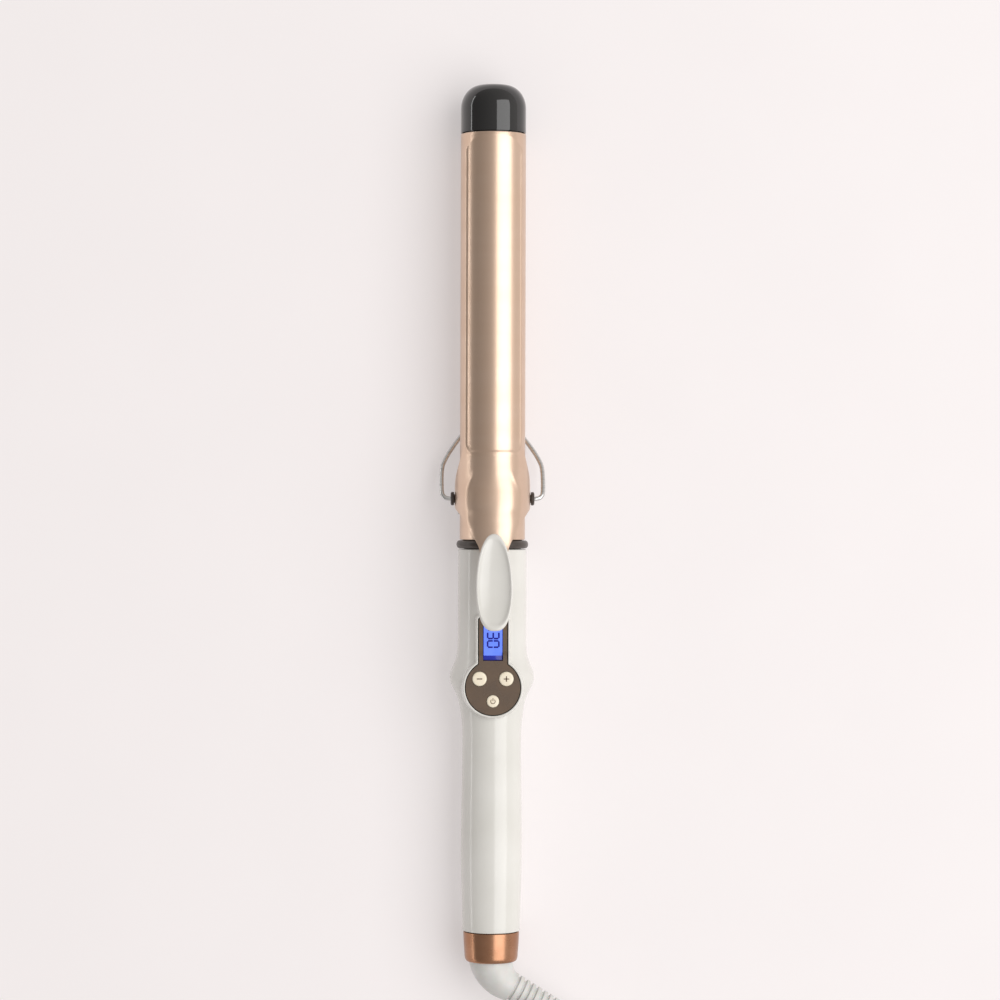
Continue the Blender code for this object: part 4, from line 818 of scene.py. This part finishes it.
def make_stand():
    """Bent chrome wire: ends in the bushes, sides along the barrel, and a cross-bar on the table."""
    low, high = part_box("stand_wire")
    reach = 30.4
    fall = math.asin((AXIS_Z - WIRE_R) / reach)
    side = high[X] / MM - WIRE_R
    half = [(BUSH_OUTER - 2.2, 0), (BUSH_OUTER + 0.6, 0), (side - 0.9, 0.8), (side, 3.4),
            (side - 0.1, 12.4), (side - 1.4, 17.0),
            (side - 4.4, 22.5), (side - 7.4, 27.0), (9.9, reach - 0.7), (6.5, reach), (0, reach)]
    route = [Vector((x, q)) for x, q in half] + [Vector((-x, q)) for x, q in reversed(half[:-1])]
    path = []
    for p in spline_through(route, 10):
        q = min(p.y, reach)
        path.append(P(p.x, PIVOT_AT - q * math.cos(fall), -q * math.sin(fall)))
    dress(tube("stand_bow", path, [WIRE_R] * len(path), 20), "chrome_wire", "stand", "stand_wire")


def make_spring():
    """Leaf spring under the lever."""
    low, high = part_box("clip_spring")
    seat, top = low[Z], high[Z]
    route = [Vector((-4.5, 0)), Vector((0, 0)), Vector((3.5, 0)), Vector((8, 0.36)), Vector((14.2, 1))]
    rings = []
    for p in spline_through(route, 8):
        z = mix(seat, top - 0.4 * MM, max(0.0, p.y))
        section = [(-2.2, 0.04), (-2.1, 0.4), (2.1, 0.4), (2.2, 0.04)]
        rings.append([Vector((x * MM, (TIP_Y - PIVOT_AT - p.x) * MM, z + h * MM)) for x, h in section])
    spring = dress(skin("lever_spring", rings), "spring_steel", "wand", "clip_spring")
    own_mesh(spring)


make_clip()
make_lever()
make_pivot()
make_stand()
make_spring()


# ---------------------------------------------------------------- handle

def handle_r(s):
    rows = [(0, NECK_R), (BULGE_AT, NECK_R), (72, WAIST_R), (115, GRIP_R), (146.4, TAIL_R)]
    base = rows[-1][1]
    for (a, low), (b, high) in zip(rows, rows[1:]):
        if s <= b:
            base = mix(low, high, ease((s - a) / (b - a)))
            break
    front, back = max(0.0, 1 - s / 0.6), max(0.0, 1 - (HANDLE_LENGTH - s) / 0.35)
    edge = 0.5 * (1 - math.sqrt(1 - front ** 2)) + 0.3 * (1 - math.sqrt(1 - back ** 2))
    return base + BULGE_OUT * math.exp(-((s - BULGE_AT) / BULGE_SPREAD) ** 2) - edge


def half_shell(name, top):
    stations = [0, 0.1, 0.3, 0.6] + [2 + 4 * k for k in range(7)] + [30 + 0.8 * k for k in range(56)]
    stations += [75 + 2.95 * k for k in range(25)] + [HANDLE_LENGTH - 0.12, HANDLE_LENGTH]
    stations = sorted(s for s in stations if s <= HANDLE_LENGTH)
    steps = 72
    outer, inner = [], []
    for s in stations:
        r = handle_r(s)
        bore = min(r - 2, BORE_R)
        rows = ([], [])
        for k in range(steps + 1):
            a = math.pi * k / steps + (0 if top else math.pi)
            for row, radius in zip(rows, (r, bore)):
                z = radius * math.sin(a)
                z = max(z, SEAM) if top else min(z, -SEAM)
                if radius == r:
                    z = max(z, -AXIS_Z + 0.01)
                row.append(P(radius * math.cos(a), HANDLE_AT + s, z))
        outer.append(rows[0])
        inner.append(rows[1])
    count = steps + 1
    points = [p for row in outer + inner for p in row]
    shift = len(stations) * count
    faces = []
    for i in range(len(stations) - 1):
        for j in range(steps):
            a, b = i * count + j, (i + 1) * count + j
            faces += [(a, a + 1, b + 1, b), (shift + a, shift + b, shift + b + 1, shift + a + 1)]
        for j in (0, steps):
            a, b = i * count + j, (i + 1) * count + j
            faces.append((a, b, shift + b, shift + a))
    for i in (0, len(stations) - 1):
        for j in range(steps):
            a = i * count + j
            faces.append((a, a + 1, shift + a + 1, shift + a))
    return raw(name, points, faces)


def level(u):
    """Height of the control panel's face: strip, short ramp, disc."""
    ramp = DISC_AT - DISC_R - 1.0
    return mix(STRIP_LEVEL, DISC_LEVEL, ease((u - ramp + 3) / 3))


def keyhole(margin):
    """Panel outline, a strip that runs into a disc, with the same count of points at any margin."""
    half, radius, top = STRIP_HALF + margin, DISC_R + margin, STRIP_START - margin
    joint = math.asin(half / radius)
    foot = DISC_AT - radius * math.cos(joint)
    corner = 1.2 + margin * 0.5
    right = [(half - corner + x, top + corner + y) for x, y in arc(corner, corner, -90, 0, 6)]
    right += [(half, mix(top + corner, foot, k / 24)) for k in range(1, 24)]
    disc = arc(radius, radius, -90 + math.degrees(joint), 90, 44)
    right += [(x, DISC_AT + y) for x, y in disc]
    return right + [(-x, u) for x, u in reversed(right[:-1])]


def panel_rim():
    """Raised white lip round the panel, down into the handle's wall."""
    section = [(1.5, -4.0), (1.25, -2.2), (1.0, -0.9), (0.9, -0.42), (0.84, -0.2), (0.72, -0.05),
               (0.55, 0.0), (0.4, 0.0),
               (0.28, -0.05), (0.2, -0.2), (0.17, -0.5), (0.17, -4.0)]
    rings = [[P(x, u, level(u) + RIM_PROUD + drop) for x, u in keyhole(margin)] for margin, drop in section]
    return skin("rim", rings, along=True)


def make_handle():
    front = half_shell("handle_top", True)
    combine(front, prism("panel_opening", keyhole(0.6), 4.0, 20.0, seen_from_above(0)))
    combine(front, panel_rim(), "UNION")
    dress(front, "white_plastic", "wand", "handle_front_shell", sharp=32)
    rear = half_shell("handle_bottom", False)
    screw_y = TIP_Y - sum(extent("handle_screw", Y)) / 2
    wall = 9.6
    boss = turned("boss", [(0.2, 3.0), (wall + 0.8, 3.0)], P(0, screw_y, 0), (0, 0, -1), 40)
    combine(rear, boss, "UNION")
    combine(rear, turned("bore", [(-1, 1.3), (20, 1.3)], P(0, screw_y, 0), (0, 0, -1), 40))
    combine(rear, turned("pocket", [(wall - 1.6, 2.4), (20, 2.4)], P(0, screw_y, 0), (0, 0, -1), 40))
    dress(rear, "white_plastic", "wand", "handle_rear_shell", sharp=32)


def make_panel():
    """Taupe panel whose face follows the strip, the ramp and the disc."""
    inside = 0.15
    stations = [mix(STRIP_START + inside, DISC_AT - 9.0, k / 40) for k in range(41)]
    stations += [DISC_AT - (DISC_R - inside) * math.cos(math.pi * k / 60) for k in range(10, 61)]
    grid = []
    for u in sorted(set(stations)):
        half = STRIP_HALF - inside
        corner = u - (STRIP_START + inside)
        if corner < 1.2:
            half -= 1.2 - math.sqrt(max(0.0, 1.44 - (1.2 - corner) ** 2))
        reach = (DISC_R - inside) ** 2 - (u - DISC_AT) ** 2
        half = max(half if u < DISC_AT else 0.05, math.sqrt(max(reach, 0.0)))
        row = [(-half + 2 * half * k / 24) for k in range(25)]
        grid.append([P(x, u, level(u)) for x in row] + [P(x, u, level(u) - 0.8) for x in reversed(row)])
    panel = skin("panel", grid)
    for key in ("minus", "plus", "power"):
        x, u, r = button_place(key)
        combine(panel, turned("hole", [(-6, r + 0.15), (6, r + 0.15)], P(x, u, DISC_LEVEL), (0, 0, 1), 64))
    low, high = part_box("display_window")
    window = [(s * (high[X] / MM + 0.15), u) for s, u in
              ((1, TIP_Y - high[Y] / MM - 0.15), (1, TIP_Y - low[Y] / MM + 0.15),
               (-1, TIP_Y - low[Y] / MM + 0.15), (-1, TIP_Y - high[Y] / MM - 0.15))]
    combine(panel, prism("window_opening", window, 5.0, 20.0, seen_from_above(0)))
    panel.name = "key_panel"
    dress(panel, "taupe_plastic", "wand", "control_panel", sharp=30)


def button_place(key):
    low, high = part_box("button_" + key)
    radius = {"minus": 2.75, "plus": 2.75, "power": 2.35}[key]
    return (low[X] + high[X]) / 2 / MM, TIP_Y - (low[Y] + high[Y]) / 2 / MM, radius


def bar(name, x, u, half_width, half_height, matrix):
    outline = [(x + a, u + b) for a, b in rounded_box(half_width, half_height, min(half_width,
                                                                                   half_height) * 0.6, 3)]
    return prism(name, outline, -0.05, 0.03, matrix)


def join(name, objects):
    """One object from several, by joining their meshes."""
    bm = bmesh.new()
    for obj in objects:
        bm.from_mesh(obj.data)
        bpy.data.objects.remove(obj, do_unlink=True)
    mesh = bpy.data.meshes.new(name)
    bm.to_mesh(mesh)
    bm.free()
    made = bpy.data.objects.new(name, mesh)
    bpy.context.scene.collection.objects.link(made)
    return made


def make_buttons():
    for key in ("minus", "plus", "power"):
        x, u, radius = button_place(key)
        top = DISC_LEVEL + 0.6
        body = key + "_button"
        crown = [(0.0, 0.02), (0.01, radius * 0.4), (0.04, radius * 0.7), (0.1, radius - 0.42),
                 (0.2, radius - 0.2),
                 (0.38, radius - 0.05), (0.6, radius), (4.4, radius), (4.4, radius + 0.6),
                 (5.2, radius + 0.6), (5.2, 0.02)]
        dress(turned("key_" + key, crown, P(x, u, top), (0, 0, -1), 64), "ivory_plastic", body,
              "button_" + key)
        face = seen_from_above(top)
        if key == "power":
            rings = [[face @ (Vector((x + r * math.sin(a), u - r * math.cos(a), h)) * MM) for r, h in
                      ((0.72, -0.06), (0.72, 0.02), (0.98, 0.02), (0.98, -0.06))]
                     for a in [math.radians(40 + 10 * k) for k in range(29)]]
            marks = [skin("ring", rings), bar("stem", x, u - 0.72, 0.14, 0.5, face)]
        else:
            marks = [bar("dash", x, u, 1.05, 0.2, face)]
            if key == "plus":
                marks.append(bar("upright", x, u, 0.2, 1.05, face))
        dress(join("mark_" + key, marks), "brown_print", body)


SEGMENTS = {"3": "abgcd", "0": "abcdef"}


def make_display():
    """Blue display: dark border, lit field and three seven-segment digits that read along the handle."""
    low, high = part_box("display_window")
    start, end = TIP_Y - high[Y] / MM, TIP_Y - low[Y] / MM
    half, middle = high[X] / MM, (start + end) / 2
    flat = seen_from_above(STRIP_LEVEL)
    frame_outline = [(a, middle + b) for a, b in rounded_box(half, (end - start) / 2, 0.4)]
    dress(prism("display_frame", frame_outline, -1.2, -0.12, flat, 0.08), "display_border", "wand",
          "display_window")
    field = [(a, middle - 0.7 + b) for a, b in rounded_box(half - 0.12, (end - start) / 2 - 1.1, 0.15)]
    dress(prism("display_field", field, -0.2, -0.1, flat), "display", "wand")
    height, width, thick = 4.9, 2.4, 0.64
    pieces = []
    for place, digit in enumerate("330"):
        centre_u = middle - 5.4 + 3.3 * place
        for segment in SEGMENTS[digit]:
            across, up, long_way = {"a": (0, 1, True), "g": (0, 0, True), "d": (0, -1, True),
                                    "b": (1, 0.5, False),
                                    "c": (1, -0.5, False), "e": (-1, -0.5, False),
                                    "f": (-1, 0.5, False)}[segment]
            a, b = across * width / 2, up * (height - thick) / 2
            size = (width / 2 - 0.16, thick / 2) if long_way else (thick / 2, (height - thick) / 4 - 0.16)
            x, u = b + 0.1, centre_u + a
            pieces.append(prism("segment", [(x + q, u + p) for p, q in rounded_box(*size, 0.16, 2)], -0.11,
                                -0.08, flat))
    dress(join("display_digits", pieces), "display_digit", "wand")


def make_end_cap():
    """Copper ring that closes the handle, slightly drawn in, with a rounded rim round the boot."""
    start, end = HANDLE_END + 0.3, TOTAL
    length = end - start
    outside = [(start, 10.35), (start + 0.12, 10.6), (start + 0.35, 10.7)]
    outside += [(start + 0.35 + (length - 2.75) * k / 10, 10.7 - 0.5 * (k / 10) ** 1.4) for k in range(1, 11)]
    outside += [(end - 2.4 + 2.4 * s, 9.15 + 1.05 * c) for c, s in arc(1, 1, 0, 90, 14)][1:]
    inside = [(end, 9.1), (start + 7.2, 9.1), (start + 7.2, 4.9), (start + 4, 4.9), (start + 4, 7.3),
              (start - 8, 7.3),
              (start - 8, 8.8), (start, 8.8)]
    dress(turned("copper_end_ring", outside + inside, sides=144, ring=True), "copper_metal", "wand",
          "end_cap")


make_handle()
make_panel()
make_buttons()
make_display()
make_end_cap()


# ---------------------------------------------------------------- everything else from the frame

def dress_frame_nodes():
    """CAD nodes that show or sit inside keep their shape and take their finish."""
    slots = {row["node"]: row["material_slot"] for row in frame["record"]["subparts"]}
    for name, obj in frame["nodes"].items():
        finish = MATERIALS[slots[name]]
        if not obj.material_slots:
            obj.data.materials.append(finish)
        for spot in obj.material_slots:
            spot.material = finish


def add_table():
    size = 1.6
    table = raw("table", [Vector((x * size, y * size, 0)) for x, y in ((-1, -1), (1, -1), (1, 1), (-1, 1))],
                [(0, 1, 2, 3)])
    table.data.materials.append(make_finish("pale matt paper", "#C3BFBF", "#C2BEBE", (0.8, 0.9), 60.0,
                                            bump=0.01, glow=0.69))


dress_frame_nodes()
add_table()
